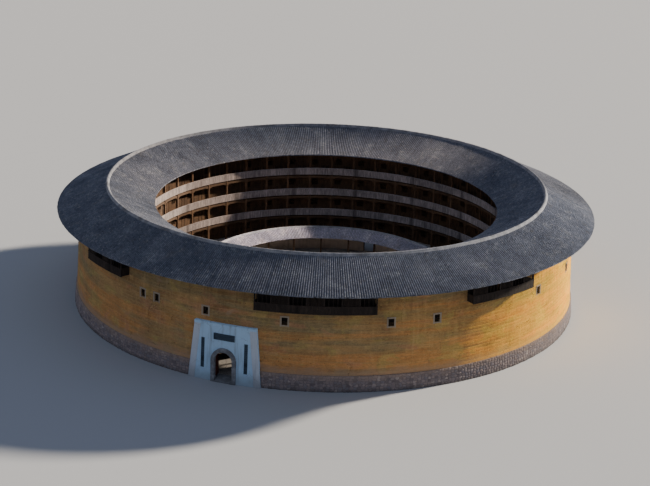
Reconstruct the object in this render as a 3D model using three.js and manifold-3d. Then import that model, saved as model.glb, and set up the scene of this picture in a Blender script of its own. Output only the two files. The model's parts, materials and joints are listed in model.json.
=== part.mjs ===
// Tulou roundhouse: a four-storey ring of rammed earth round an open courtyard,
// with timber galleries inside, timber lookouts under the outer eaves, a plastered
// gate front and a low one-storey ring in the courtyard.
// Scale model at 1:2. Millimetres, +Z up, origin on the ground at the centre.
// The gate faces -Y. Azimuth 0 is the gate; azimuths grow towards +X.

import * as THREE from 'three';
import { mergeVertices } from 'three/addons/utils/BufferGeometryUtils.js';
import Module from 'manifold-3d';

const wasm = await Module();
wasm.setup();

// ---------------------------------------------------------------- dimensions
const M = 500;            // millimetres of this model for one metre of the building
const GAP = 0.0008;       // 0.4 mm between touching pieces, in building metres
const BAYS = 48;          // bays of the galleries, and facets of every ring
const STEP = 360 / BAYS;  // one bay, degrees
const HALF = Math.cos((STEP / 2) * Math.PI / 180);

// outer wall (building metres from here on)
const WALL_IN = 31.5;
const WALL_OUT_BASE = 33.0;
const WALL_OUT_TOP = 32.5;
const WALL_TOP = 13.45;
const PLINTH_TOP = 2.0;
const PLINTH_OUT_BASE = 33.3;
const PLINTH_OUT_TOP = 33.15;
const GATE_SECTOR = 8.5;  // half of the sector that holds the gate, degrees
const SEGMENTS = 6;       // segments of the plinth
// the seams of the wall outside the gate sector, degrees; they keep clear of windows and doors
const WALL_SEAMS = [8.5, 27, 68, 98, 107.15, 118, 165, 195, 240.5, 275, 334.5, 340.45, 351.5];
const SEAM = 0.0008;      // degrees kept free at each end of a segment

// windows: small square holes on one row, wider on the inside
const WINDOW_AZ = [-21.6, -17.5, -4.8, 12.5, 34.6, 44.8, 74.7, 92, 104, 128, 152, 171, 184, 206, 233, 248];
const WINDOW_SILL = 8.0;
const WINDOW_HEAD = 8.95;
const WINDOW_OUT = 0.72;
const WINDOW_IN = 1.25;

// lookouts under the outer eaves: [centre azimuth, width in degrees]
const LOOKOUTS = [[-33.1, 13.8], [18.8, 24.6], [60.6, 17.4], [110, 17.4], [160, 24.6], [210, 13.8], [266, 17.4]];
const LOOKOUT_FLOOR = 10.0;
const LOOKOUT_OUT = 33.95;
const LOOKOUT_TOP = 12.9;
const LOOKOUT_RAIL = 1.05;
const LOOKOUT_BOARD = 0.09;
const LOOKOUT_DOOR = [0.95, 1.95];

// gate
const DOOR_HALF = 1.15;
const DOOR_SPRING = 2.75;
const FRAME_HALF = 1.6;
const FRAME_BACK = 33.06;
const FRAME_FRONT = 33.62;
const PASSAGE_TOP = 4.4;
const SILL = 0.2;
const PANEL_TOP = 7.3;
const PANEL_HALF_TOP = 4.0;
const PANEL_HALF_BASE = 4.7;
const LEAF_THICK = 0.1;
const LEAF_TOP = 4.3;
const HINGE_X = 1.49;
const HINGE_Y = -32.96;

// galleries
const FLOORS = [0.2, 3.3, 6.4, 9.5];       // walking levels
const SLAB = 0.3;
const PARAPET_IN = 24.3;                   // boarded rail, nailed to the front of the posts
const PARAPET_OUT = 24.46;
const PARAPET_DROP = 0.08;
const PARAPET_H = 0.92;
const POST = 0.22;
const POST_DEPTH = 0.26;
const POST_TOP = 12.95;
const BEAM = 0.28;
const BEAM_OUT = 24.95;
const SLAB_IN = 24.73;
const FRAMES = 6;                          // sectors of the gallery frame
const FRONT_R = 25.95;
const FRONT_T = 0.14;

// main roof
const RIDGE_R = 28.88;
const RIDGE_Z = 15.72;
const EAVE_OUT_R = 35.48;
const EAVE_OUT_Z = 12.80;
const EAVE_IN_R = 22.62;
const EAVE_IN_Z = 12.95;
const ROOF_T = 0.3;

// one-storey ring in the courtyard
const LOW_RIDGE_R = 16.5;
const LOW_RIDGE_Z = 4.05;
const LOW_EAVE_IN = 14.3;
const LOW_EAVE_OUT = 19.4;
const LOW_EAVE_Z = 2.75;
const LOW_EAVE_IN_Z = 3.05;
const LOW_ROOF_T = 0.2;
const LOW_BASE = [14.55, 18.8, 0.15];
const LOW_WALL = [18.3, 18.6, 2.84];
const LOW_POST_R = 15.0;
const LOW_BEAM = [2.82, 3.11];
const LOW_POSTS = 24;
const LOW_DOOR = [0.85, 2.3];

// ---------------------------------------------------------------- materials
const materials = {
  earth: new THREE.MeshStandardMaterial({ color: 0xb88a4a, roughness: 0.95, metalness: 0 }),
  stone: new THREE.MeshStandardMaterial({ color: 0x8b7d78, roughness: 0.9, metalness: 0 }),
  plaster: new THREE.MeshStandardMaterial({ color: 0xd4d9de, roughness: 0.85, metalness: 0 }),
  granite: new THREE.MeshStandardMaterial({ color: 0xa8a29a, roughness: 0.8, metalness: 0 }),
  tile: new THREE.MeshStandardMaterial({ color: 0x6f6a70, roughness: 0.9, metalness: 0 }),
  mortar: new THREE.MeshStandardMaterial({ color: 0xa9a4a2, roughness: 0.9, metalness: 0 }),
  timber: new THREE.MeshStandardMaterial({ color: 0x5a4230, roughness: 0.85, metalness: 0 }),
  pale: new THREE.MeshStandardMaterial({ color: 0xa39c94, roughness: 0.85, metalness: 0 }),
  dark: new THREE.MeshStandardMaterial({ color: 0x2b211c, roughness: 0.85, metalness: 0 }),
  door: new THREE.MeshStandardMaterial({ color: 0x5b2620, roughness: 0.75, metalness: 0 }),
};

// ---------------------------------------------------------------- solids
const rad = (deg) => deg * Math.PI / 180;

// closed triangle mesh of a three.js geometry as a solid, faces out
function solid(geometry) {
  const bare = geometry.index ? geometry.toNonIndexed() : geometry.clone();
  bare.deleteAttribute('normal');
  bare.deleteAttribute('uv');
  const merged = mergeVertices(bare, 1e-3);
  const p = merged.attributes.position.array;
  const idx = Array.from(merged.index.array);
  const tris = [];
  let volume = 0;
  for (let i = 0; i < idx.length; i += 3) {
    const [a, b, c] = [idx[i], idx[i + 1], idx[i + 2]];
    if (a === b || b === c || a === c) continue;
    tris.push(a, b, c);
    const A = [p[3 * a], p[3 * a + 1], p[3 * a + 2]];
    const B = [p[3 * b], p[3 * b + 1], p[3 * b + 2]];
    const C = [p[3 * c], p[3 * c + 1], p[3 * c + 2]];
    volume += A[0] * (B[1] * C[2] - B[2] * C[1]) - A[1] * (B[0] * C[2] - B[2] * C[0]) + A[2] * (B[0] * C[1] - B[1] * C[0]);
  }
  if (volume < 0) {
    for (let i = 0; i < tris.length; i += 3) [tris[i + 1], tris[i + 2]] = [tris[i + 2], tris[i + 1]];
  }
  return new wasm.Manifold(new wasm.Mesh({
    numProp: 3,
    vertProperties: new Float32Array(p),
    triVerts: new Uint32Array(tris),
  }));
}

// ring of a closed [radius, height] profile
function ring(profile, sides = BAYS) {
  const points = profile.map(([r, z]) => new THREE.Vector2(r * M, z * M));
  points.push(points[0].clone());
  const lathe = new THREE.LatheGeometry(points, sides);
  lathe.rotateX(Math.PI / 2);
  return solid(lathe);
}

function band(r0, r1, z0, z1, sides = BAYS) {
  return ring([[r0, z0], [r1, z0], [r1, z1], [r0, z1]], sides);
}

// upright prism of a plan outline [[x, y], ...]
function prism(outline, z0, z1) {
  const shape = new THREE.Shape(outline.map(([x, y]) => new THREE.Vector2(x * M, y * M)));
  const geometry = new THREE.ExtrudeGeometry(shape, { depth: (z1 - z0) * M, bevelEnabled: false });
  geometry.translate(0, 0, z0 * M);
  return solid(geometry);
}

// prism of an elevation outline [[x, z], ...] seen from the gate side, between two distances y
function slab(outline, y0, y1) {
  const shape = new THREE.Shape(outline.map(([x, z]) => new THREE.Vector2(x * M, z * M)));
  const geometry = new THREE.ExtrudeGeometry(shape, { depth: (y1 - y0) * M, bevelEnabled: false });
  geometry.rotateX(Math.PI / 2);
  geometry.translate(0, y1 * M, 0);
  return solid(geometry);
}

// prism of a radial section [[r, z], ...], of a width, turned to an azimuth
function rib(section, width, azimuth) {
  const shape = new THREE.Shape(section.map(([r, z]) => new THREE.Vector2(r * M, z * M)));
  const geometry = new THREE.ExtrudeGeometry(shape, { depth: width * M, bevelEnabled: false });
  geometry.translate(0, 0, -width * M / 2);
  geometry.rotateX(Math.PI / 2);      // section stands up: r along +X, z along +Z
  geometry.rotateZ(rad(azimuth - 90));
  return solid(geometry);
}

// box between distances r0..r1 and heights z0..z1, of a width, at an azimuth
function block(r0, r1, width, z0, z1, azimuth) {
  const geometry = new THREE.BoxGeometry(width * M, (r1 - r0) * M, (z1 - z0) * M);
  geometry.translate(0, -(r0 + r1) / 2 * M, (z0 + z1) / 2 * M);
  geometry.rotateZ(rad(azimuth));
  return solid(geometry);
}

function wedge(a0, a1, reach = 60, z0 = -1, z1 = 20) {
  const mid = (a0 + a1) / 2;
  const at = (a, r) => [r * Math.sin(rad(a)), -r * Math.cos(rad(a))];
  return prism([[0, 0], at(a0, reach), at(mid, reach * 1.3), at(a1, reach)], z0, z1);
}

const join = (list) => wasm.Manifold.union(list);

const group = new THREE.Group();
group.name = 'tulou_roundhouse';

function add(name, shape, material) {
  const out = shape.getMesh();
  const geometry = new THREE.BufferGeometry();
  const stride = out.numProp;
  const count = out.vertProperties.length / stride;
  const positions = new Float32Array(count * 3);
  for (let i = 0; i < count; i++) {
    for (let k = 0; k < 3; k++) positions[3 * i + k] = out.vertProperties[stride * i + k];
  }
  geometry.setAttribute('position', new THREE.BufferAttribute(positions, 3));
  geometry.setIndex(Array.from(out.triVerts));
  geometry.computeVertexNormals();
  const mesh = new THREE.Mesh(geometry, material);
  mesh.name = name;
  group.add(mesh);
  return mesh;
}

// ---------------------------------------------------------------- outer wall
const wallOut = (z) => WALL_OUT_BASE + (WALL_OUT_TOP - WALL_OUT_BASE) * (z - PLINTH_TOP) / (WALL_TOP - PLINTH_TOP);

function archOutline(half, spring, foot, sides) {
  const points = [[-half, foot], [half, foot]];
  for (let i = 0; i <= sides; i++) {
    const a = Math.PI * i / sides;
    points.push([half * Math.cos(a), spring + half * Math.sin(a)]);
  }
  return points;
}

const doorway = join([
  slab([[-FRAME_HALF, -1], [FRAME_HALF, -1], [FRAME_HALF, PASSAGE_TOP], [-FRAME_HALF, PASSAGE_TOP]], -FRAME_BACK, -30),
  slab(archOutline(FRAME_HALF, DOOR_SPRING, -1, 16), -35, -FRAME_BACK + 0.01),
]);

const plinth = ring([
  [WALL_IN, 0], [PLINTH_OUT_BASE, 0], [PLINTH_OUT_TOP, PLINTH_TOP], [WALL_IN, PLINTH_TOP],
]).subtract(doorway);
for (let i = 0; i < SEGMENTS; i++) {
  const sector = wedge(i * 360 / SEGMENTS + SEAM, (i + 1) * 360 / SEGMENTS - SEAM);
  add(`stone_plinth_${i + 1}`, plinth.intersect(sector), materials.stone);
}

const windowCut = (azimuth) => {
  const cut = prism([
    [-WINDOW_OUT / 2, -33.6], [WINDOW_OUT / 2, -33.6], [WINDOW_OUT / 2, -32.7],
    [WINDOW_IN / 2, -31.3], [-WINDOW_IN / 2, -31.3], [-WINDOW_OUT / 2, -32.7],
  ], WINDOW_SILL, WINDOW_HEAD);
  return cut.rotate([0, 0, azimuth]);
};
const lookoutDoor = (azimuth) => block(31, 34, LOOKOUT_DOOR[0], LOOKOUT_FLOOR + 0.16, LOOKOUT_FLOOR + 0.16 + LOOKOUT_DOOR[1], azimuth);

const earthRing = ring([
  [WALL_IN, PLINTH_TOP + GAP], [WALL_OUT_BASE, PLINTH_TOP + GAP], [WALL_OUT_TOP, WALL_TOP], [WALL_IN, WALL_TOP],
]);
const wallHoles = join([...WINDOW_AZ.map(windowCut), ...LOOKOUTS.map(([a]) => lookoutDoor(a))]);
const earth = earthRing.subtract(wallHoles);

for (let i = 0; i + 1 < WALL_SEAMS.length; i++) {
  add(`earth_wall_${i + 1}`, earth.intersect(wedge(WALL_SEAMS[i] + SEAM, WALL_SEAMS[i + 1] - SEAM)), materials.earth);
}

// the wall beside and over the gate
const HEAD_HALF = 2.2;
const gateSector = earth.intersect(wedge(-GATE_SECTOR + SEAM, GATE_SECTOR - SEAM)).subtract(doorway);
const overBox = slab([[-HEAD_HALF, DOOR_SPRING], [HEAD_HALF, DOOR_SPRING], [HEAD_HALF, 20], [-HEAD_HALF, 20]], -40, -28);
const overBoxWide = slab([[-HEAD_HALF - GAP, DOOR_SPRING - GAP], [HEAD_HALF + GAP, DOOR_SPRING - GAP], [HEAD_HALF + GAP, 20], [-HEAD_HALF - GAP, 20]], -40, -28);
const leftSide = slab([[-20, -1], [0, -1], [0, 20], [-20, 20]], -40, -20);
const rightSide = slab([[0, -1], [20, -1], [20, 20], [0, 20]], -40, -20);
const gateSides = gateSector.subtract(overBoxWide);
add('gate_wall_left', gateSides.intersect(leftSide), materials.earth);
add('gate_wall_right', gateSides.intersect(rightSide), materials.earth);
add('gate_wall_over', gateSector.intersect(overBox), materials.earth);

// ---------------------------------------------------------------- gate
const panelOut = (z) => 33.45 - 0.3 * z / PANEL_TOP;
const panelRing = ring([
  [PLINTH_OUT_BASE + GAP, 0], [panelOut(0), 0], [panelOut(PANEL_TOP), PANEL_TOP],
  [wallOut(PANEL_TOP) + GAP, PANEL_TOP], [WALL_OUT_BASE + GAP, PLINTH_TOP + 2 * GAP],
  [PLINTH_OUT_TOP + GAP, PLINTH_TOP + 2 * GAP],
]);
const panelPrism = slab([
  [-PANEL_HALF_BASE, 0], [PANEL_HALF_BASE, 0], [PANEL_HALF_TOP, PANEL_TOP], [-PANEL_HALF_TOP, PANEL_TOP],
], -40, -28);
add('gate_plaster', panelRing.intersect(panelPrism).subtract(doorway), materials.plaster);

const frameOutline = archOutline(FRAME_HALF - GAP, DOOR_SPRING, SILL + GAP, 16);
const frameHole = archOutline(DOOR_HALF, DOOR_SPRING, -1, 16);
add('gate_arch', slab(frameOutline, -FRAME_FRONT, -FRAME_BACK - GAP).subtract(slab(frameHole, -40, -30)), materials.granite);

add('gate_threshold', slab([
  [-FRAME_HALF + GAP, 0], [FRAME_HALF - GAP, 0], [FRAME_HALF - GAP, SILL], [-FRAME_HALF + GAP, SILL],
], -FRAME_FRONT, -WALL_IN - GAP), materials.granite);

const boardY = -panelOut(5.3) - GAP;
add('name_board', slab([[-1.35, 5.32], [1.35, 5.32], [1.35, 6.12], [-1.35, 6.12]], boardY - 0.1, boardY), materials.dark);

// two leaves on pivots behind the stone arch, standing open along the passage
function leaf(side) {
  const x = side * HINGE_X;
  const length = HINGE_X - 0.012;
  const foot = SILL + 0.04;
  const board = new THREE.BoxGeometry(LEAF_THICK * M, length * M, (LEAF_TOP - foot) * M);
  board.translate(x * M, (HINGE_Y + length / 2) * M, (LEAF_TOP + foot) / 2 * M);
  const pole = new THREE.CylinderGeometry(0.065 * M, 0.065 * M, (LEAF_TOP + 0.05 - foot + 0.025) * M, 12);
  pole.rotateX(Math.PI / 2);
  pole.translate(x * M, HINGE_Y * M, (LEAF_TOP + 0.05 + foot - 0.025) / 2 * M);
  return join([solid(board), solid(pole)]);
}
add('gate_leaf_left', leaf(-1), materials.door);
add('gate_leaf_right', leaf(1), materials.door);

// ---------------------------------------------------------------- galleries
add('ground_floor', band(24.0, WALL_IN - GAP, 0, FLOORS[0]), materials.stone);
for (let s = 1; s < 4; s++) {
  add(`gallery_floor_${s + 1}`, band(SLAB_IN, WALL_IN - GAP, FLOORS[s] - SLAB, FLOORS[s]), materials.timber);
  add(`gallery_parapet_${s + 1}`, band(PARAPET_IN, PARAPET_OUT, FLOORS[s] - PARAPET_DROP, FLOORS[s] + PARAPET_H), materials.pale);
}
// posts from the ground floor to the eaves, one at the middle of each facet, with a ring beam under every floor
const beamTops = [FLOORS[1] - SLAB - GAP, FLOORS[2] - SLAB - GAP, FLOORS[3] - SLAB - GAP, POST_TOP];
for (let k = 0; k < FRAMES; k++) {
  const sector = wedge(k * 360 / FRAMES + SEAM, (k + 1) * 360 / FRAMES - SEAM);
  const parts = beamTops.map((top) => band(PARAPET_OUT + GAP, BEAM_OUT, top - BEAM, top).intersect(sector));
  const front = PARAPET_OUT * HALF + GAP;
  for (let i = 0; i < BAYS / FRAMES; i++) {
    parts.push(block(front, front + POST_DEPTH, POST, FLOORS[0] + GAP, POST_TOP, (k * BAYS / FRAMES + i + 0.5) * STEP));
  }
  add(`gallery_frame_${k + 1}`, join(parts), materials.timber);
}
for (let s = 0; s < 4; s++) {
  const top = s < 3 ? FLOORS[s + 1] - SLAB - GAP : 13.3;
  let front = band(FRONT_R, FRONT_R + FRONT_T, FLOORS[s] + GAP, top);
  if (s === 0) {
    const half = 1.55;
    front = front.subtract(slab([[-half, -1], [half, -1], [half, 2.75], [-half, 2.75]], -30, -20));
  }
  add(`room_front_${s + 1}`, front, materials.timber);
}

// ---------------------------------------------------------------- main roof
const SLOPE_OUT = (RIDGE_Z - EAVE_OUT_Z) / (EAVE_OUT_R - RIDGE_R);
const SLOPE_IN = (RIDGE_Z - EAVE_IN_Z) / (RIDGE_R - EAVE_IN_R);
const topOut = (r) => EAVE_OUT_Z + (EAVE_OUT_R - r) * SLOPE_OUT;
const topIn = (r) => EAVE_IN_Z + (r - EAVE_IN_R) * SLOPE_IN;
const RO = RIDGE_R + GAP / 2;
const RI = RIDGE_R - GAP / 2;
add('roof_outer_slope', ring([
  [RO, topOut(RO) - ROOF_T], [EAVE_OUT_R, EAVE_OUT_Z - ROOF_T], [EAVE_OUT_R, EAVE_OUT_Z], [RO, topOut(RO)],
]), materials.tile);
add('roof_inner_slope', ring([
  [EAVE_IN_R, EAVE_IN_Z - ROOF_T], [RI, topIn(RI) - ROOF_T], [RI, topIn(RI)], [EAVE_IN_R, EAVE_IN_Z],
]), materials.tile);
const CAP = 0.34;
add('roof_ridge', ring([
  [RIDGE_R - CAP, topIn(RIDGE_R - CAP) + GAP], [RIDGE_R, RIDGE_Z + GAP * 1.5], [RIDGE_R + CAP, topOut(RIDGE_R + CAP) + GAP],
  [RIDGE_R + CAP - 0.12, RIDGE_Z + 0.2], [RIDGE_R - CAP + 0.12, RIDGE_Z + 0.2],
]), materials.mortar);

// timbers that carry the eaves; each stands at the middle of a bay
const underOut = (r) => topOut(r / HALF) - ROOF_T - 0.004;
const underIn = (r) => topIn(r / HALF) - ROOF_T - 0.004;
{
  const r0 = 31.7, r1 = 35.0, depth = 0.2;
  const parts = [
    ring([[32.0, WALL_TOP + GAP], [32.35, WALL_TOP + GAP], [32.35, 13.78], [32.0, 13.78]]),
  ];
  for (let i = 0; i < BAYS; i += 2) {
    parts.push(rib([[r0, underOut(r0) - depth], [r1, underOut(r1) - depth], [r1, underOut(r1)], [r0, underOut(r0)]], 0.16, (i + 0.5) * STEP));
  }
  add('eave_frame_outer', join(parts), materials.timber);
}
{
  const r0 = 22.95, r1 = 28.4, depth = 0.2;
  const parts = [
    ring([[24.5, POST_TOP + GAP], [24.75, POST_TOP + GAP], [24.75, 13.42], [24.5, 13.42]]),
  ];
  for (let i = 0; i < BAYS; i += 2) {
    parts.push(rib([[r0, underIn(r0) - depth], [r1, underIn(r1) - depth], [r1, underIn(r1)], [r0, underIn(r0)]], 0.16, (i + 0.5) * STEP));
  }
  add('eave_frame_inner', join(parts), materials.timber);
}

// ---------------------------------------------------------------- lookouts
const wallClear = ring([[20, 1], [WALL_OUT_BASE + GAP * 2, 1.99], [WALL_OUT_TOP + GAP * 2, WALL_TOP + 0.5], [20, WALL_TOP + 0.5]]);
LOOKOUTS.forEach(([centre, width], index) => {
  const a0 = centre - width / 2;
  const a1 = centre + width / 2;
  const sector = wedge(a0, a1);
  const t = LOOKOUT_BOARD;
  const parts = [
    band(32.2, LOOKOUT_OUT, LOOKOUT_FLOOR, LOOKOUT_FLOOR + 0.16).intersect(sector),
    band(LOOKOUT_OUT - t, LOOKOUT_OUT, LOOKOUT_FLOOR, LOOKOUT_FLOOR + LOOKOUT_RAIL).intersect(sector),
    band(LOOKOUT_OUT - 0.16, LOOKOUT_OUT, LOOKOUT_TOP - 0.16, LOOKOUT_TOP).intersect(sector),
  ];
  const bays = Math.round(width / 6);
  for (let i = 0; i <= bays; i++) {
    const inset = 0.14 * (i === 0 ? 1 : i === bays ? -1 : 0);
    const a = a0 + width * i / bays + inset;
    const reach = LOOKOUT_OUT * 0.9985;
    parts.push(block(reach - 0.2, reach - 0.02, 0.15, LOOKOUT_FLOOR + 0.02, LOOKOUT_TOP - 0.02, a));
  }
  for (const a of [a0, a1]) {
    const inset = (a === a0 ? 1 : -1) * 0.085;
    parts.push(block(32.2, LOOKOUT_OUT * 0.9985 - 0.03, t, LOOKOUT_FLOOR + 0.02, LOOKOUT_FLOOR + LOOKOUT_RAIL, a + inset));
  }
  add(`lookout_${index + 1}`, join(parts).subtract(wallClear), materials.dark);
});

// ---------------------------------------------------------------- low ring in the courtyard
add('low_ring_base', band(LOW_BASE[0], LOW_BASE[1], 0, LOW_BASE[2]), materials.stone);
const lowDoors = [0, 90, 180, 270].map((a) => block(17, 20, LOW_DOOR[0] * 2, -1, LOW_BASE[2] + LOW_DOOR[1], a));
// a doorway that reaches the ground would part the wall, so each keeps a sill
const lowSills = [0, 90, 180, 270].map((a) => block(17, 20, LOW_DOOR[0] * 2 + 0.2, -1, LOW_BASE[2] + 0.06, a));
add('low_ring_wall', band(LOW_WALL[0], LOW_WALL[1], LOW_BASE[2] + GAP, LOW_WALL[2]).subtract(join(lowDoors).subtract(join(lowSills))), materials.plaster);
{
  const parts = [band(LOW_POST_R - 0.11, LOW_POST_R + 0.11, LOW_BEAM[0], LOW_BEAM[1])];
  const r = LOW_POST_R * HALF;
  for (let i = 0; i < LOW_POSTS; i++) {
    parts.push(block(r - 0.1, r + 0.1, 0.2, LOW_BASE[2] + GAP, LOW_BEAM[0] + 0.15, (i + 0.5) * 360 / LOW_POSTS));
  }
  add('low_ring_posts', join(parts), materials.timber);
}
add('low_ring_roof', ring([
  [LOW_EAVE_IN, LOW_EAVE_IN_Z - LOW_ROOF_T], [LOW_RIDGE_R, LOW_RIDGE_Z - LOW_ROOF_T], [LOW_EAVE_OUT, LOW_EAVE_Z - LOW_ROOF_T],
  [LOW_EAVE_OUT, LOW_EAVE_Z], [LOW_RIDGE_R, LOW_RIDGE_Z], [LOW_EAVE_IN, LOW_EAVE_IN_Z],
]), materials.tile);

export default group;
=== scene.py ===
import json
import math
import bpy
import numpy as np
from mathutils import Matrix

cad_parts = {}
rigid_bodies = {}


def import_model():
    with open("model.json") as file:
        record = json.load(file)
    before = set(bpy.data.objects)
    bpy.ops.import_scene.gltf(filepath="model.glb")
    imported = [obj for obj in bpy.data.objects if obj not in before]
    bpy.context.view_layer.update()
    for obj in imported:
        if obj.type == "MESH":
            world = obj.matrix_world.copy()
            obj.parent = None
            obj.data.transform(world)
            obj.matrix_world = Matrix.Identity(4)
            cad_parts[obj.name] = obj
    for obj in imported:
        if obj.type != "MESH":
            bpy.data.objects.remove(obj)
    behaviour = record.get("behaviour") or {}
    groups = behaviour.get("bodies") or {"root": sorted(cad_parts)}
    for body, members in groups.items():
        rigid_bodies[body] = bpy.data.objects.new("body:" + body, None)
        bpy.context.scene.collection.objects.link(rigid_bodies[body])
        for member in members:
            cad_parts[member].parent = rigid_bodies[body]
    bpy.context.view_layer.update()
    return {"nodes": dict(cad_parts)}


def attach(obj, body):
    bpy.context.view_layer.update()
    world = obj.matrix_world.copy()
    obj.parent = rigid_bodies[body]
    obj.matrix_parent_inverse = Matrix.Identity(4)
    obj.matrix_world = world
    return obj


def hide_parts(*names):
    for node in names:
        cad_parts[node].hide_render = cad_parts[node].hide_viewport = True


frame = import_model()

K = 0.5                  # metres of this 1:2 model for one metre of the building
PI = math.pi

# ------------------------------------------------------------------ sizes, in building metres
BAYS = 48
STEP = 360.0 / BAYS
WALL_IN, WALL_BASE, WALL_HEAD, WALL_TOP, PLINTH_TOP = 31.5, 33.0, 32.5, 13.45, 2.0
PLINTH_BASE, PLINTH_HEAD = 33.3, 33.15
GATE_SECTOR = 8.5
WALL_SEAMS = [8.5, 27, 68, 98, 107.15, 118, 165, 195, 240.5, 275, 334.5, 340.45, 351.5]
WINDOW_AZ = [-21.6, -17.5, -4.8, 12.5, 34.6, 44.8, 74.7, 92, 104, 128, 152, 171, 184, 206, 233, 248]
WINDOW_Z = (8.0, 8.95)
WINDOW_OUT, WINDOW_IN = 0.72, 1.25
LOOKOUTS = [(-33.1, 13.8), (18.8, 24.6), (60.6, 17.4), (110, 17.4), (160, 24.6), (210, 13.8), (266, 17.4)]
LOOK_FLOOR, LOOK_OUT, LOOK_TOP, LOOK_RAIL = 10.0, 33.95, 12.9, 1.05
LOOK_DOOR = (0.95, 1.95)
FRAME_HALF, FRAME_FRONT, FRAME_BACK, PASSAGE_TOP = 1.6, 33.62, 33.06, 4.4
DOOR_HALF, DOOR_SPRING, SILL = 1.15, 2.75, 0.2
PANEL_TOP, PANEL_HALF_TOP, PANEL_HALF_BASE = 7.3, 4.0, 4.7
HINGE_X, HINGE_Y, LEAF_TOP = 1.49, -32.96, 4.3
FLOORS = [0.2, 3.3, 6.4, 9.5]
SLAB = 0.3
RIDGE_R, RIDGE_Z = 28.88, 15.72
EAVE_OUT_R, EAVE_OUT_Z = 35.48, 12.80
EAVE_IN_R, EAVE_IN_Z = 22.62, 12.95
LOW_RIDGE_R, LOW_RIDGE_Z, LOW_IN, LOW_OUT, LOW_EAVE_Z, LOW_IN_Z = 16.5, 4.05, 14.3, 19.4, 2.75, 3.05
LOW_POST_R = 15.0

SLOPE_OUT = (RIDGE_Z - EAVE_OUT_Z) / (EAVE_OUT_R - RIDGE_R)
SLOPE_IN = (RIDGE_Z - EAVE_IN_Z) / (RIDGE_R - EAVE_IN_R)


def top_out(r):
    return EAVE_OUT_Z + (EAVE_OUT_R - r) * SLOPE_OUT


def top_in(r):
    return EAVE_IN_Z + (r - EAVE_IN_R) * SLOPE_IN


def wall_out(z):
    return WALL_BASE + (WALL_HEAD - WALL_BASE) * (z - PLINTH_TOP) / (WALL_TOP - PLINTH_TOP)


def panel_out(z):
    return 33.45 - 0.3 * z / PANEL_TOP


# ------------------------------------------------------------------ mesh tools
def polar(az, r, z):
    """Points at azimuth az (degrees from the gate), distance r, height z."""
    az, r, z = np.broadcast_arrays(np.asarray(az, float), np.asarray(r, float), np.asarray(z, float))
    a = np.radians(az)
    return np.stack([r * np.sin(a), -r * np.cos(a), z], -1)


def local(az, t, r, z):
    """Points at distance r along azimuth az, moved sideways by t."""
    az, t, r, z = np.broadcast_arrays(np.asarray(az, float), np.asarray(t, float), np.asarray(r, float), np.asarray(z, float))
    a = np.radians(az)
    return np.stack([r * np.sin(a) + t * np.cos(a), -r * np.cos(a) + t * np.sin(a), z], -1)


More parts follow.
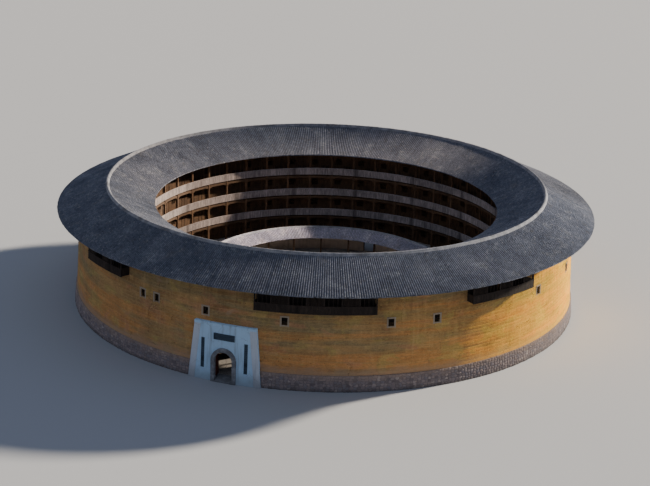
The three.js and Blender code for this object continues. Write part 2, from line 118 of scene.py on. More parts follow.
class Build:
    """Collects points and faces, then becomes one object."""

    def __init__(self):
        self.v, self.f, self.mi, self.tone, self.n = [], [], [], [], 0

    def add(self, verts, faces, mat=0, tone=0.5):
        verts = np.asarray(verts, float).reshape(-1, 3)
        self.v.append(verts)
        t = np.asarray(tone, float)
        self.tone.append(np.broadcast_to(t, (len(verts),)).copy() if t.ndim == 0 else t.reshape(-1))
        for f in ([faces] if isinstance(faces, np.ndarray) else faces):
            f = np.asarray(f, int) + self.n
            self.f.extend(f.tolist())
            self.mi.extend([mat] * len(f))
        self.n += len(verts)

    def prisms(self, az, t0, t1, r0, r1, zb0, zt0, zb1=None, zt1=None, mat=0, tone=None):
        """Six-sided bars that lie along a radius; zb0, zt0 are the heights at r0, zb1, zt1 those at r1."""
        zb1 = zb0 if zb1 is None else zb1
        zt1 = zt0 if zt1 is None else zt1
        args = np.broadcast_arrays(*[np.asarray(x, float) for x in (az, t0, t1, r0, r1, zb0, zt0, zb1, zt1)])
        az, t0, t1, r0, r1, zb0, zt0, zb1, zt1 = [x.ravel() for x in args]
        n = len(az)
        c = np.stack([
            local(az, t0, r0, zb0), local(az, t1, r0, zb0), local(az, t1, r1, zb1), local(az, t0, r1, zb1),
            local(az, t0, r0, zt0), local(az, t1, r0, zt0), local(az, t1, r1, zt1), local(az, t0, r1, zt1),
        ], 1)
        q = np.array([[0, 1, 2, 3], [4, 7, 6, 5], [0, 4, 5, 1], [2, 6, 7, 3], [1, 5, 6, 2], [0, 3, 7, 4]])
        faces = (np.arange(n)[:, None, None] * 8 + q[None]).reshape(-1, 4)
        if tone is None:
            tone = rng.random(n)
        tone = np.repeat(np.broadcast_to(np.asarray(tone, float), (n,)), 8)
        self.add(c.reshape(-1, 3), faces, mat, tone)

    def sweep(self, az, loop_r, loop_z, mat=0, tone=0.5, closed=True):
        """A closed section carried round: loop_r, loop_z are (len(az), n) or (n,), in order outside-bottom first going up."""
        az = np.asarray(az, float)
        lr = np.asarray(loop_r, float)
        lz = np.asarray(loop_z, float)
        if lr.ndim == 1:
            lr = np.broadcast_to(lr, (len(az), len(lr)))
        if lz.ndim == 1:
            lz = np.broadcast_to(lz, (len(az), lr.shape[1]))
        n, m = lr.shape
        pts = polar(az[:, None], lr, lz)
        ii = np.arange(n if closed else n - 1)
        jj = np.arange(m)
        I, J = np.meshgrid(ii, jj, indexing="ij")
        I2, J2 = (I + 1) % n, (J + 1) % m
        faces = np.stack([I * m + J, I2 * m + J, I2 * m + J2, I * m + J2], -1).reshape(-1, 4)
        extra = []
        if not closed:
            extra = [np.array([list(range(m))[::-1]]), np.array([[(n - 1) * m + j for j in range(m)]])]
            extra[0], extra[1] = extra[0][:, ::-1], extra[1][:, ::-1]
            extra = [extra[0][:, ::-1], extra[1][:, ::-1]]
        tone = np.asarray(tone, float)
        self.add(pts.reshape(-1, 3), [faces] + extra, mat, tone if tone.ndim == 0 else tone.reshape(-1))

    def done(self, name, mats, smooth=None):
        me = bpy.data.meshes.new(name)
        v = np.concatenate(self.v) * K
        me.from_pydata(v.tolist(), [], self.f)
        for m in mats:
            me.materials.append(m)
        me.polygons.foreach_set("material_index", self.mi)
        at = me.attributes.new("tone", "FLOAT", "POINT")
        at.data.foreach_set("value", np.concatenate(self.tone).astype(np.float32))
        me.update()
        if smooth is not None:
            me.shade_smooth()
            if smooth < 179:
                me.set_sharp_from_angle(angle=math.radians(smooth))
        o = bpy.data.objects.new(name, me)
        bpy.context.scene.collection.objects.link(o)
        return o


rng = np.random.default_rng(20)


def table_noise(seed, n, m=512):
    return np.random.default_rng(seed).random((n, m))


def vnoise(az, v, cells, seed):
    """Smooth noise in 0..1, round the ring in `cells` cells, and along v with one cell a unit."""
    t = table_noise(seed, cells)
    u = (np.asarray(az, float) / 360.0 % 1.0) * cells
    v = np.asarray(v, float) + 100.0
    iu, iv = np.floor(u).astype(int), np.floor(v).astype(int)
    fu, fv = u - iu, v - iv
    fu, fv = fu * fu * (3 - 2 * fu), fv * fv * (3 - 2 * fv)
    a, b = t[iu % cells, iv % 512], t[(iu + 1) % cells, iv % 512]
    c, d = t[iu % cells, (iv + 1) % 512], t[(iu + 1) % cells, (iv + 1) % 512]
    return (a * (1 - fu) + b * fu) * (1 - fv) + (c * (1 - fu) + d * fu) * fv


def cut(obj, cutter):
    mod = obj.modifiers.new("cut", "BOOLEAN")
    mod.operation, mod.object, mod.solver = "DIFFERENCE", cutter, "EXACT"
    dg = bpy.context.evaluated_depsgraph_get()
    me = bpy.data.meshes.new_from_object(obj.evaluated_get(dg))
    obj.modifiers.clear()
    old, obj.data = obj.data, me
    bpy.data.meshes.remove(old)
    bpy.data.objects.remove(cutter, do_unlink=True)


def bevel(obj, width, segments=1, angle=40):
    m = obj.modifiers.new("edge", "BEVEL")
    m.width, m.segments, m.limit_method, m.angle_limit = width, segments, "ANGLE", math.radians(angle)
    m.harden_normals = False


def prism_y(name, outline, y0, y1, mats):
    """An upright outline [[x, z], ...] seen from the gate side, carried from y0 to y1 (y0 nearer the viewer)."""
    n = len(outline)
    pts = np.array([[x, y0, z] for x, z in outline] + [[x, y1, z] for x, z in outline])
    faces = [np.array([list(range(n))]), np.array([list(range(2 * n - 1, n - 1, -1))]),
             np.array([[i, n + i, n + (i + 1) % n, (i + 1) % n] for i in range(n)])]
    b = Build()
    b.add(pts, faces)
    return b.done(name, mats)


def arch(half, spring, foot, sides=32):
    return [[-half, foot], [half, foot]] + [[half * math.cos(PI * i / sides), spring + half * math.sin(PI * i / sides)] for i in range(sides + 1)]


# ------------------------------------------------------------------ materials
class Nodes:
    """A node tree with short calls."""

    def __init__(self, name, rough=0.9, spec=0.25):
        self.m = bpy.data.materials.new(name)
        self.m.use_nodes = True
        self.t = self.m.node_tree
        self.t.nodes.clear()
        self.out = self.t.nodes.new("ShaderNodeOutputMaterial")
        self.b = self.t.nodes.new("ShaderNodeBsdfPrincipled")
        self.t.links.new(self.b.outputs[0], self.out.inputs[0])
        self.b.inputs["Roughness"].default_value = rough
        self.b.inputs["Specular IOR Level"].default_value = spec
        self.b.inputs["Diffuse Roughness"].default_value = 0.9
        tc = self.t.nodes.new("ShaderNodeTexCoord")
        self.p = self.vm("MULTIPLY", tc.outputs["Object"], (1 / K, 1 / K, 1 / K))
        s = self.t.nodes.new("ShaderNodeSeparateXYZ")
        self.t.links.new(self.p, s.inputs[0])
        self.x, self.y, self.z = s.outputs
        self.r = self.mt("SQRT", self.mt("ADD", self.mt("MULTIPLY", self.x, self.x), self.mt("MULTIPLY", self.y, self.y)))
        self.a = self.mt("ARCTAN2", self.x, self.mt("MULTIPLY", self.y, -1.0))   # radians from the gate

    def put(self, sock, v):
        if isinstance(v, bpy.types.NodeSocket):
            self.t.links.new(v, sock)
        elif isinstance(v, (tuple, list)) and len(v) == 3 and sock.type == "RGBA":
            sock.default_value = (*v, 1)
        else:
            sock.default_value = v

    def mt(self, op, a, b=None, c=None, clamp=False):
        n = self.t.nodes.new("ShaderNodeMath")
        n.operation, n.use_clamp = op, clamp
        self.put(n.inputs[0], a)
        if b is not None:
            self.put(n.inputs[1], b)
        if c is not None:
            self.put(n.inputs[2], c)
        return n.outputs[0]

    def vm(self, op, a, b=None):
        n = self.t.nodes.new("ShaderNodeVectorMath")
        n.operation = op
        self.put(n.inputs[0], a)
        if b is not None:
            self.put(n.inputs[1], b)
        return n.outputs[0]

    def vec(self, x=0.0, y=0.0, z=0.0):
        n = self.t.nodes.new("ShaderNodeCombineXYZ")
        for s, v in zip(n.inputs, (x, y, z)):
            self.put(s, v)
        return n.outputs[0]

    def noise(self, scale, detail=4.0, rough=0.55, vector=None, dist=0.0):
        n = self.t.nodes.new("ShaderNodeTexNoise")
        n.inputs["Scale"].default_value = scale
        n.inputs["Detail"].default_value = detail
        n.inputs["Roughness"].default_value = rough
        n.inputs["Distortion"].default_value = dist
        self.put(n.inputs["Vector"], self.p if vector is None else vector)
        return n.outputs[0]

    def white(self, vector):
        n = self.t.nodes.new("ShaderNodeTexWhiteNoise")
        n.noise_dimensions = "3D"
        self.put(n.inputs["Vector"], vector)
        return n.outputs[0]

    def cells(self, scale, vector=None, feature="F1"):
        n = self.t.nodes.new("ShaderNodeTexVoronoi")
        n.feature = feature
        n.inputs["Scale"].default_value = scale
        self.put(n.inputs["Vector"], self.p if vector is None else vector)
        return n.outputs[0]

    def smooth(self, v, lo, hi, a=0.0, b=1.0):
        n = self.t.nodes.new("ShaderNodeMapRange")
        n.interpolation_type = "SMOOTHSTEP"
        self.put(n.inputs["Value"], v)
        n.inputs["From Min"].default_value = lo
        n.inputs["From Max"].default_value = hi
        n.inputs["To Min"].default_value = a
        n.inputs["To Max"].default_value = b
        return n.outputs[0]

    def ramp(self, v, stops):
        n = self.t.nodes.new("ShaderNodeValToRGB")
        e = n.color_ramp.elements
        while len(e) < len(stops):
            e.new(0.5)
        for k, (pos, col) in zip(e, stops):
            k.position, k.color = pos, (*col, 1)
        self.put(n.inputs[0], v)
        return n.outputs[0]

    def mix(self, f, a, b, how="MIX"):
        n = self.t.nodes.new("ShaderNodeMix")
        n.data_type, n.blend_type = "RGBA", how
        self.put(n.inputs[0], f)
        self.put(n.inputs[6], a)
        self.put(n.inputs[7], b)
        return n.outputs[2]

    def scale(self, col, f):
        """Colour times a number."""
        n = self.t.nodes.new("ShaderNodeVectorMath")
        n.operation = "SCALE"
        self.put(n.inputs[0], col)
        self.put(n.inputs["Scale"], f)
        return n.outputs[0]

    def attr(self, name="tone"):
        n = self.t.nodes.new("ShaderNodeAttribute")
        n.attribute_name = name
        return n.outputs["Fac"]

    def bump(self, height, strength, distance, normal=None):
        n = self.t.nodes.new("ShaderNodeBump")
        n.inputs["Strength"].default_value = strength
        n.inputs["Distance"].default_value = distance * K
        self.put(n.inputs["Height"], height)
        if normal is not None:
            self.put(n.inputs["Normal"], normal)
        return n.outputs[0]

    def set(self, color=None, normal=None, rough=None):
        if color is not None:
            self.put(self.b.inputs["Base Color"], color)
        if normal is not None:
            self.put(self.b.inputs["Normal"], normal)
        if rough is not None:
            self.put(self.b.inputs["Roughness"], rough)
        return self.m


MATS = {}


def material_rammed_earth():
    n = Nodes("rammed_earth", 0.95, 0.12)
    along = n.mt("MULTIPLY", n.a, 33.0)
    course = n.mt("DIVIDE", n.mt("SUBTRACT", n.z, PLINTH_TOP), 0.42)
    wob = n.mt("MULTIPLY", n.mt("SUBTRACT", n.noise(0.22, 4), 0.5), 0.9)
    wob = n.mt("ADD", wob, n.mt("MULTIPLY", n.mt("SUBTRACT", n.noise(2.2, 4), 0.5), 0.22))
    cw = n.mt("ADD", course, wob)
    row = n.mt("FLOOR", cw)
    fr = n.mt("FRACT", cw)
    bx = n.mt("ADD", n.mt("DIVIDE", along, 2.1), n.mt("MULTIPLY", n.white(n.vec(row, 0.4, 6.0)), 3.0))
    blockx = n.mt("FLOOR", bx)
    hx = n.mt("FRACT", bx)
    tone_row = n.white(n.vec(row, 3.1, 0.0))
    tone_block = n.white(n.vec(row, blockx, 1.7))
    big = n.noise(0.13, 5, 0.6)
    bands = n.noise(1.0, 5, 0.62, n.vec(n.mt("MULTIPLY", n.x, 0.07), n.mt("MULTIPLY", n.y, 0.07), n.mt("MULTIPLY", n.z, 0.62)), 0.5)
    mid = n.noise(1.1, 7, 0.62)
    fine = n.noise(7.0, 8, 0.68)
    grit = n.noise(38.0, 4, 0.6)
    base = n.ramp(big, [(0.32, (0.300, 0.168, 0.066)), (0.46, (0.420, 0.240, 0.086)), (0.58, (0.500, 0.286, 0.098)), (0.72, (0.360, 0.254, 0.112))])
    # orange below, olive above, in uneven bands
    drift = n.mt("ADD", bands, n.mt("MULTIPLY", n.mt("SUBTRACT", 7.2, n.z), 0.022))
    base = n.mix(n.smooth(drift, 0.50, 0.62, 0.0, 0.75), base, (0.610, 0.272, 0.078))
    base = n.mix(n.smooth(drift, 0.48, 0.36, 0.0, 0.75), base, (0.285, 0.216, 0.096))
    blot = n.noise(0.30, 4, 0.58, n.vm("ADD", n.vm("MULTIPLY", n.p, (1.0, 1.0, 1.7)), (4.0, 17.0, 9.0)), 0.6)
    base = n.mix(n.smooth(blot, 0.54, 0.64, 0.0, 0.55), base, (0.470, 0.340, 0.095))       # yellow ochre
    base = n.mix(n.smooth(blot, 0.45, 0.35, 0.0, 0.50), base, (0.500, 0.225, 0.105))       # pink clay
    base = n.mix(n.smooth(mid, 0.50, 0.76, 0.0, 0.45), base, (0.620, 0.395, 0.140))        # dry, pale crust
    base = n.mix(n.smooth(mid, 0.44, 0.22, 0.0, 0.50), base, (0.250, 0.138, 0.058))
    grain = n.noise(2.6, 7, 0.70, n.vm("MULTIPLY", n.p, (1.0, 1.0, 2.2)))
    value = n.mt("ADD", 0.74, n.mt("ADD", n.mt("MULTIPLY", tone_row, 0.13), n.mt("ADD", n.mt("MULTIPLY", tone_block, 0.16), n.mt("ADD", n.mt("MULTIPLY", n.mt("SUBTRACT", fine, 0.5), 0.75), n.mt("ADD", n.mt("MULTIPLY", n.mt("SUBTRACT", grain, 0.5), 0.85), n.mt("MULTIPLY", n.mt("SUBTRACT", grit, 0.5), 0.50))))))
    col = n.scale(base, value)
    # lift lines and block joints, worn away over most of the face
    keep = n.smooth(n.noise(0.42, 5, 0.65), 0.40, 0.60)
    edge = n.mt("MINIMUM", fr, n.mt("SUBTRACT", 1.0, fr))
    line = n.mt("MULTIPLY", n.smooth(edge, 0.0, 0.075, 1.0, 0.0), keep)
    side = n.mt("MULTIPLY", n.mt("MINIMUM", hx, n.mt("SUBTRACT", 1.0, hx)), 5.0)
    joint = n.mt("MULTIPLY", n.smooth(side, 0.0, 0.075, 1.0, 0.0), n.mt("MULTIPLY", keep, n.mt("GREATER_THAN", n.white(n.vec(row, blockx, 4.4)), 0.45)))
    seam = n.mt("MAXIMUM", line, n.mt("MULTIPLY", joint, 0.8))
    col = n.mix(n.mt("MULTIPLY", seam, 0.46), col, (0.150, 0.085, 0.040))
    # each lift is paler and drier along its top
    col = n.mix(n.smooth(fr, 0.62, 0.95, 0.0, 0.20), col, (0.580, 0.385, 0.150))
    # pebbles and straw that show where the face has worn
    speck = n.cells(5.5, n.vm("ADD", n.vm("MULTIPLY", n.p, (1.0, 1.0, 1.6)), n.vec(n.mt("MULTIPLY", fine, 0.25), n.mt("MULTIPLY", fine, 0.2), 0.0)))
    speck = n.mt("MULTIPLY", n.smooth(speck, 0.20, 0.10), n.smooth(n.noise(0.8, 4), 0.48, 0.60))
    col = n.mix(n.mt("MULTIPLY", speck, 0.45), col, (0.560, 0.440, 0.290))
    # rain streaks, with painted shade that makes them darker towards the eaves
    streak = n.noise(1.0, 6, 0.62, n.vec(n.mt("MULTIPLY", n.x, 1.5), n.mt("MULTIPLY", n.y, 1.5), n.mt("MULTIPLY", n.z, 0.11)))
    up = n.smooth(n.z, 7.0, 13.2)
    col = n.mix(n.mt("MULTIPLY", n.smooth(streak, 0.50, 0.72), n.mt("ADD", 0.16, n.mt("MULTIPLY", up, 0.42))), col, (0.150, 0.092, 0.046))
    col = n.mix(n.mt("MULTIPLY", n.smooth(streak, 0.46, 0.26), 0.26), col, (0.640, 0.425, 0.165))
    # patches of newer render, greyer than the earth
    patch = n.mt("MULTIPLY", n.smooth(n.noise(0.30, 3, 0.5, n.vm("ADD", n.p, (31.0, 7.0, 3.0)), 0.8), 0.68, 0.78), 0.40)
    col = n.mix(patch, col, (0.400, 0.290, 0.170))
    # washed and patched band over the plinth
    low = n.smooth(n.mt("ADD", n.z, n.mt("MULTIPLY", n.mt("SUBTRACT", n.noise(0.5, 4), 0.5), 1.9)), 3.3, 2.2)
    col = n.mix(n.mt("MULTIPLY", low, 0.58), col, (0.390, 0.268, 0.160))
    # cracks that run down from the eaves
    crack = n.smooth(n.cells(0.16, n.vm("ADD", n.vm("MULTIPLY", n.p, (1.0, 1.0, 0.45)), n.vec(n.mt("MULTIPLY", mid, 1.6), n.mt("MULTIPLY", mid, 1.4), n.mt("MULTIPLY", fine, 0.5))), "DISTANCE_TO_EDGE"), 0.0, 0.0042, 1.0, 0.0)
    crack = n.mt("MULTIPLY", crack, n.smooth(n.noise(0.21, 3), 0.50, 0.60))
    col = n.mix(n.mt("MULTIPLY", crack, 0.65), col, (0.075, 0.043, 0.022))
    # a few holes left by the ties of the formwork, painted near-black as the shade inside them
    ox = n.mt("ADD", 0.2, n.mt("MULTIPLY", n.white(n.vec(row, blockx, 5.5)), 0.6))
    hole = n.mt("ADD", n.mt("POWER", n.mt("MULTIPLY", n.mt("SUBTRACT", hx, ox), 2.1), 2.0), n.mt("POWER", n.mt("MULTIPLY", n.mt("SUBTRACT", fr, 0.5), 0.42), 2.0))
    hole = n.mt("MULTIPLY", n.smooth(hole, 0.0026, 0.0011), n.mt("GREATER_THAN", n.white(n.vec(row, blockx, 9.2)), 0.90))
    col = n.mix(n.mt("MULTIPLY", hole, 0.85), col, (0.05, 0.03, 0.018))
    h = n.mt("ADD", n.mt("ADD", n.mt("MULTIPLY", fine, 0.55), n.mt("MULTIPLY", grain, 0.55)), n.mt("ADD", n.mt("ADD", n.mt("MULTIPLY", mid, 0.50), n.mt("MULTIPLY", speck, 0.30)), n.mt("SUBTRACT", n.mt("MULTIPLY", seam, -0.45), n.mt("ADD", hole, n.mt("MULTIPLY", crack, 0.8)))))
    col = n.vm("MULTIPLY", col, (0.98, 1.05, 1.24))
    return n.set(col, n.bump(h, 0.95, 0.05))


def material_rubble():
    n = Nodes("rubble_stone", 0.88, 0.25)
    t = n.attr()
    body = n.smooth(t, 0.0, 0.12)     # tone 0 is mortar, the rest is stone
    mid = n.noise(3.0, 6, 0.6)
    fine = n.noise(16.0, 8, 0.65)
    stone = n.ramp(t, [(0.12, (0.145, 0.120, 0.125)), (0.32, (0.255, 0.208, 0.200)), (0.5, (0.205, 0.188, 0.208)), (0.68, (0.320, 0.252, 0.230)), (0.84, (0.225, 0.182, 0.186)), (1.0, (0.390, 0.332, 0.305))])
    stone = n.scale(stone, n.mt("ADD", 0.72, n.mt("ADD", n.mt("MULTIPLY", mid, 0.35), n.mt("MULTIPLY", fine, 0.22))))
    mort = n.scale((0.225, 0.186, 0.172), n.mt("ADD", 0.6, n.mt("MULTIPLY", fine, 0.7)))
    col = n.mix(body, mort, stone)
    wash = n.smooth(n.mt("ADD", n.z, n.mt("MULTIPLY", n.mt("SUBTRACT", n.noise(0.6, 5), 0.5), 1.8)), 1.1, 2.1)
    col = n.mix(n.mt("MULTIPLY", wash, 0.45), col, (0.40, 0.29, 0.21))
    damp = n.smooth(n.mt("ADD", n.z, n.mt("MULTIPLY", n.mt("SUBTRACT", n.noise(0.9, 5), 0.5), 0.8)), 0.55, 0.0)
    col = n.mix(n.mt("MULTIPLY", damp, 0.55), col, (0.070, 0.064, 0.060))
    return n.set(col, n.bump(n.mt("ADD", n.mt("MULTIPLY", mid, 0.5), n.mt("MULTIPLY", fine, 0.4)), 0.8, 0.03))


def material_tile(name, columns_out, columns_in, split, tint=(1.0, 1.0, 1.0)):
    """Grey tiles: columns round the ring, courses down the slope; split is the radius of the ridge."""
    n = Nodes(name, 0.92, 0.12)
    outside = n.mt("GREATER_THAN", n.r, split)
    cols = n.mt("ADD", columns_in, n.mt("MULTIPLY", outside, columns_out - columns_in))
    cx = n.mt("FLOOR", n.mt("ADD", n.mt("MULTIPLY", n.mt("DIVIDE", n.a, 2 * PI), cols), 0.5))
    slope = n.mt("MULTIPLY", n.mt("ABSOLUTE", n.mt("SUBTRACT", n.r, split)), 1.094)
    run = n.mt("ADD", n.mt("DIVIDE", slope, 0.21), n.mt("MULTIPLY", n.white(n.vec(cx, 5.0, 0.0)), 0.6))
    cy = n.mt("FLOOR", run)
    fr = n.mt("FRACT", run)
    tile = n.white(n.vec(cx, cy, 2.0))
    column = n.white(n.vec(cx, 7.0, 4.0))
    patch = n.noise(0.30, 6, 0.62)
    patch2 = n.noise(0.62, 6, 0.68)
    fine = n.noise(14.0, 7, 0.6)
    col = n.ramp(patch, [(0.28, (0.086, 0.098, 0.134)), (0.45, (0.132, 0.147, 0.192)), (0.60, (0.168, 0.181, 0.226)), (0.78, (0.240, 0.255, 0.294))])
    col = n.mix(n.smooth(patch2, 0.52, 0.72, 0.0, 0.62), col, (0.310, 0.320, 0.345))
    col = n.mix(n.smooth(patch2, 0.46, 0.25, 0.0, 0.60), col, (0.078, 0.086, 0.108))
    col = n.mix(n.mt("MULTIPLY", n.smooth(n.noise(0.8, 5, 0.6), 0.55, 0.70), 0.34), col, (0.166, 0.156, 0.146))
    value = n.mt("ADD", 0.66, n.mt("ADD", n.mt("MULTIPLY", tile, 0.44), n.mt("ADD", n.mt("MULTIPLY", column, 0.14), n.mt("MULTIPLY", n.mt("SUBTRACT", fine, 0.5), 0.45))))
    col = n.scale(col, value)
    # the painted shadow under each tile's lower edge, and a paler rim above it
    lip = n.smooth(fr, 0.0, 0.20, 1.0, 0.0)
    col = n.mix(n.mt("MULTIPLY", n.smooth(fr, 0.34, 0.20, 0.0, 0.24), n.mt("SUBTRACT", 1.0, lip)), col, (0.330, 0.335, 0.350))
    col = n.mix(n.mt("MULTIPLY", lip, 0.86), col, (0.030, 0.030, 0.034))
    # a few replaced tiles, lighter
    fresh = n.mt("GREATER_THAN", n.white(n.vec(cx, cy, 11.0)), 0.985)
    col = n.mix(n.mt("MULTIPLY", fresh, 0.35), col, (0.40, 0.39, 0.39))
    # darker towards the bottom of the troughs between the cover tiles
    t = n.attr()
    col = n.mix(n.smooth(t, 0.45, 0.05, 0.0, 0.55), col, (0.052, 0.049, 0.048))
    # a brightness gain; for the low ring's tiles it is painted light
    col = n.vm("MULTIPLY", col, tint)
    h = n.mt("ADD", n.mt("SUBTRACT", n.mt("MULTIPLY", n.mt("SUBTRACT", 1.0, fr), 0.8), n.mt("MULTIPLY", lip, 0.9)), n.mt("MULTIPLY", fine, 0.30))
    return n.set(col, n.bump(h, 0.95, 0.04))


def material_mortar():
    n = Nodes("ridge_mortar", 0.9, 0.25)
    a = n.noise(1.2, 6, 0.6)
    f = n.noise(12.0, 7, 0.6)
    col = n.ramp(a, [(0.3, (0.150, 0.155, 0.175)), (0.5, (0.240, 0.246, 0.270)), (0.72, (0.350, 0.355, 0.375))])
    col = n.mix(n.smooth(n.noise(0.35, 5), 0.52, 0.70, 0.0, 0.6), col, (0.095, 0.093, 0.098))
    col = n.scale(col, n.mt("ADD", 0.75, n.mt("MULTIPLY", f, 0.5)))
    unit = n.mt("FRACT", n.mt("MULTIPLY", n.a, 28.88 / 0.24))
    gap = n.smooth(n.mt("MINIMUM", unit, n.mt("SUBTRACT", 1.0, unit)), 0.0, 0.12, 1.0, 0.0)
    col = n.mix(n.mt("MULTIPLY", gap, 0.45), col, (0.12, 0.115, 0.12))
    return n.set(col, n.bump(n.mt("SUBTRACT", n.mt("MULTIPLY", f, 0.5), n.mt("MULTIPLY", gap, 0.8)), 0.8, 0.03))


def material_wood(name, dark, mid, light, board=0.2, along="vertical", grain=1.0, rough=0.85):
    """Sawn boards: grain along the board, a tone a board from the tone attribute."""
    n = Nodes(name, rough, 0.25)
    t = n.attr()
    ax = n.mt("MULTIPLY", n.a, n.r)
    if along == "vertical":
        v = n.vec(n.mt("MULTIPLY", ax, 14.0), n.mt("MULTIPLY", n.r, 14.0), n.mt("MULTIPLY", n.z, 1.1))
        pos = ax
    elif along == "radial":
        v = n.vec(n.mt("MULTIPLY", ax, 14.0), n.mt("MULTIPLY", n.r, 1.1), n.mt("MULTIPLY", n.z, 14.0))
        pos = ax
    else:
        v = n.vec(n.mt("MULTIPLY", ax, 1.1), n.mt("MULTIPLY", n.r, 14.0), n.mt("MULTIPLY", n.z, 14.0))
        pos = n.mt("ADD", n.z, n.r)
    g = n.noise(1.0 * grain, 7, 0.62, v, 0.4)
    w = n.noise(0.5, 5, 0.6)
    col = n.ramp(g, [(0.30, dark), (0.5, mid), (0.72, light)])
    col = n.mix(n.smooth(w, 0.5, 0.72, 0.0, 0.5), col, light)
    col = n.mix(n.smooth(w, 0.48, 0.28, 0.0, 0.6), col, dark)
    idx = n.mt("FLOOR", n.mt("DIVIDE", pos, board))
    fr = n.mt("FRACT", n.mt("DIVIDE", pos, board))
    seam = n.smooth(n.mt("MINIMUM", fr, n.mt("SUBTRACT", 1.0, fr)), 0.0, 0.06, 1.0, 0.0)
    value = n.mt("ADD", 0.70, n.mt("ADD", n.mt("MULTIPLY", t, 0.30), n.mt("MULTIPLY", n.white(n.vec(idx, 2.0, 1.0)), 0.28)))
    col = n.scale(col, value)
    col = n.mix(n.mt("MULTIPLY", seam, 0.6), col, tuple(c * 0.25 for c in dark))
    return n.set(col, n.bump(n.mt("SUBTRACT", n.mt("MULTIPLY", g, 0.5), n.mt("MULTIPLY", seam, 0.9)), 0.7, 0.015))


def material_plaster(name, base, stain, base_z=(0.0, 2.2)):
    n = Nodes(name, 0.92, 0.2)
    a = n.noise(0.6, 6, 0.6)
    b = n.noise(2.6, 7, 0.62)
    f = n.noise(22.0, 6, 0.6)
    col = n.mix(n.smooth(a, 0.40, 0.70, 0.0, 0.5), base, tuple(min(1.0, c * 1.14) for c in base))
    col = n.mix(n.smooth(b, 0.55, 0.76, 0.0, 0.38), col, stain)
    drip = n.noise(1.0, 5, 0.6, n.vec(n.mt("MULTIPLY", n.x, 2.4), n.mt("MULTIPLY", n.y, 2.4), n.mt("MULTIPLY", n.z, 0.16)))
    col = n.mix(n.mt("MULTIPLY", n.smooth(drip, 0.52, 0.72), 0.42), col, tuple(c * 0.55 for c in stain))
    low = n.smooth(n.mt("ADD", n.z, n.mt("MULTIPLY", n.mt("SUBTRACT", n.noise(1.1, 5), 0.5), 1.4)), base_z[1], base_z[0])
    col = n.mix(n.mt("MULTIPLY", low, 0.6), col, tuple(c * 0.62 for c in stain))
    crack = n.smooth(n.cells(0.55, n.vm("ADD", n.p, n.vec(n.mt("MULTIPLY", b, 0.8), n.mt("MULTIPLY", a, 0.8), n.mt("MULTIPLY", b, 0.6))), "DISTANCE_TO_EDGE"), 0.0, 0.014, 1.0, 0.0)
    crack = n.mt("MULTIPLY", crack, n.smooth(n.noise(0.45, 3), 0.5, 0.62))
    col = n.mix(n.mt("MULTIPLY", crack, 0.6), col, tuple(c * 0.35 for c in stain))
    col = n.scale(col, n.mt("ADD", 0.90, n.mt("MULTIPLY", f, 0.2)))
    return n.set(col, n.bump(n.mt("SUBTRACT", n.mt("ADD", n.mt("MULTIPLY", f, 0.4), n.mt("MULTIPLY", b, 0.4)), crack), 0.5, 0.02))


def material_dressed(name, base):
    n = Nodes(name, 0.82, 0.3)
    t = n.attr()
    a = n.noise(1.8, 6, 0.6)
    f = n.noise(26.0, 5, 0.7)
    pits = n.smooth(n.cells(24.0), 0.0, 0.28, 1.0, 0.0)
    col = n.mix(n.smooth(a, 0.4, 0.68), tuple(c * 0.74 for c in base), tuple(min(1, c * 1.18) for c in base))
    col = n.scale(col, n.mt("ADD", 0.72, n.mt("ADD", n.mt("MULTIPLY", t, 0.28), n.mt("MULTIPLY", f, 0.25))))
    col = n.mix(n.mt("MULTIPLY", pits, 0.3), col, tuple(c * 0.4 for c in base))
    low = n.smooth(n.mt("ADD", n.z, n.mt("MULTIPLY", n.mt("SUBTRACT", n.noise(1.4, 5), 0.5), 0.8)), 0.8, 0.0)
    col = n.mix(n.mt("MULTIPLY", low, 0.45), col, tuple(c * 0.42 for c in base))
    return n.set(col, n.bump(n.mt("SUBTRACT", n.mt("MULTIPLY", f, 0.5), n.mt("MULTIPLY", pits, 0.5)), 0.6, 0.012))


def material_paving():
    n = Nodes("paving_stone", 0.9, 0.25)
    t = n.attr()
    ax = n.mt("MULTIPLY", n.a, n.r)
    v = n.vec(ax, n.r, n.z)
    e = n.cells(1.4, v, "DISTANCE_TO_EDGE")
    joint = n.smooth(e, 0.0, 0.05, 1.0, 0.0)
    cell = n.cells(1.4, v)
    a = n.noise(1.1, 6, 0.6)
    f = n.noise(15.0, 6, 0.6)
    col = n.ramp(cell, [(0.1, (0.20, 0.185, 0.17)), (0.4, (0.27, 0.25, 0.225)), (0.8, (0.22, 0.20, 0.19))])
    col = n.scale(col, n.mt("ADD", 0.6, n.mt("ADD", n.mt("MULTIPLY", a, 0.5), n.mt("ADD", n.mt("MULTIPLY", f, 0.25), n.mt("MULTIPLY", t, 0.1)))))
    col = n.mix(n.mt("MULTIPLY", joint, 0.7), col, (0.07, 0.06, 0.05))
    return n.set(col, n.bump(n.mt("SUBTRACT", n.mt("MULTIPLY", f, 0.4), joint), 0.7, 0.02))


def material_iron():
    n = Nodes("gate_iron", 0.6, 0.5)
    a = n.noise(9.0, 6, 0.6)
    col = n.mix(n.smooth(a, 0.45, 0.65), (0.035, 0.033, 0.034), (0.10, 0.055, 0.035))
    n.b.inputs["Metallic"].default_value = 0.7
    return n.set(col, n.bump(a, 0.5, 0.006), n.smooth(a, 0.3, 0.7, 0.45, 0.8))


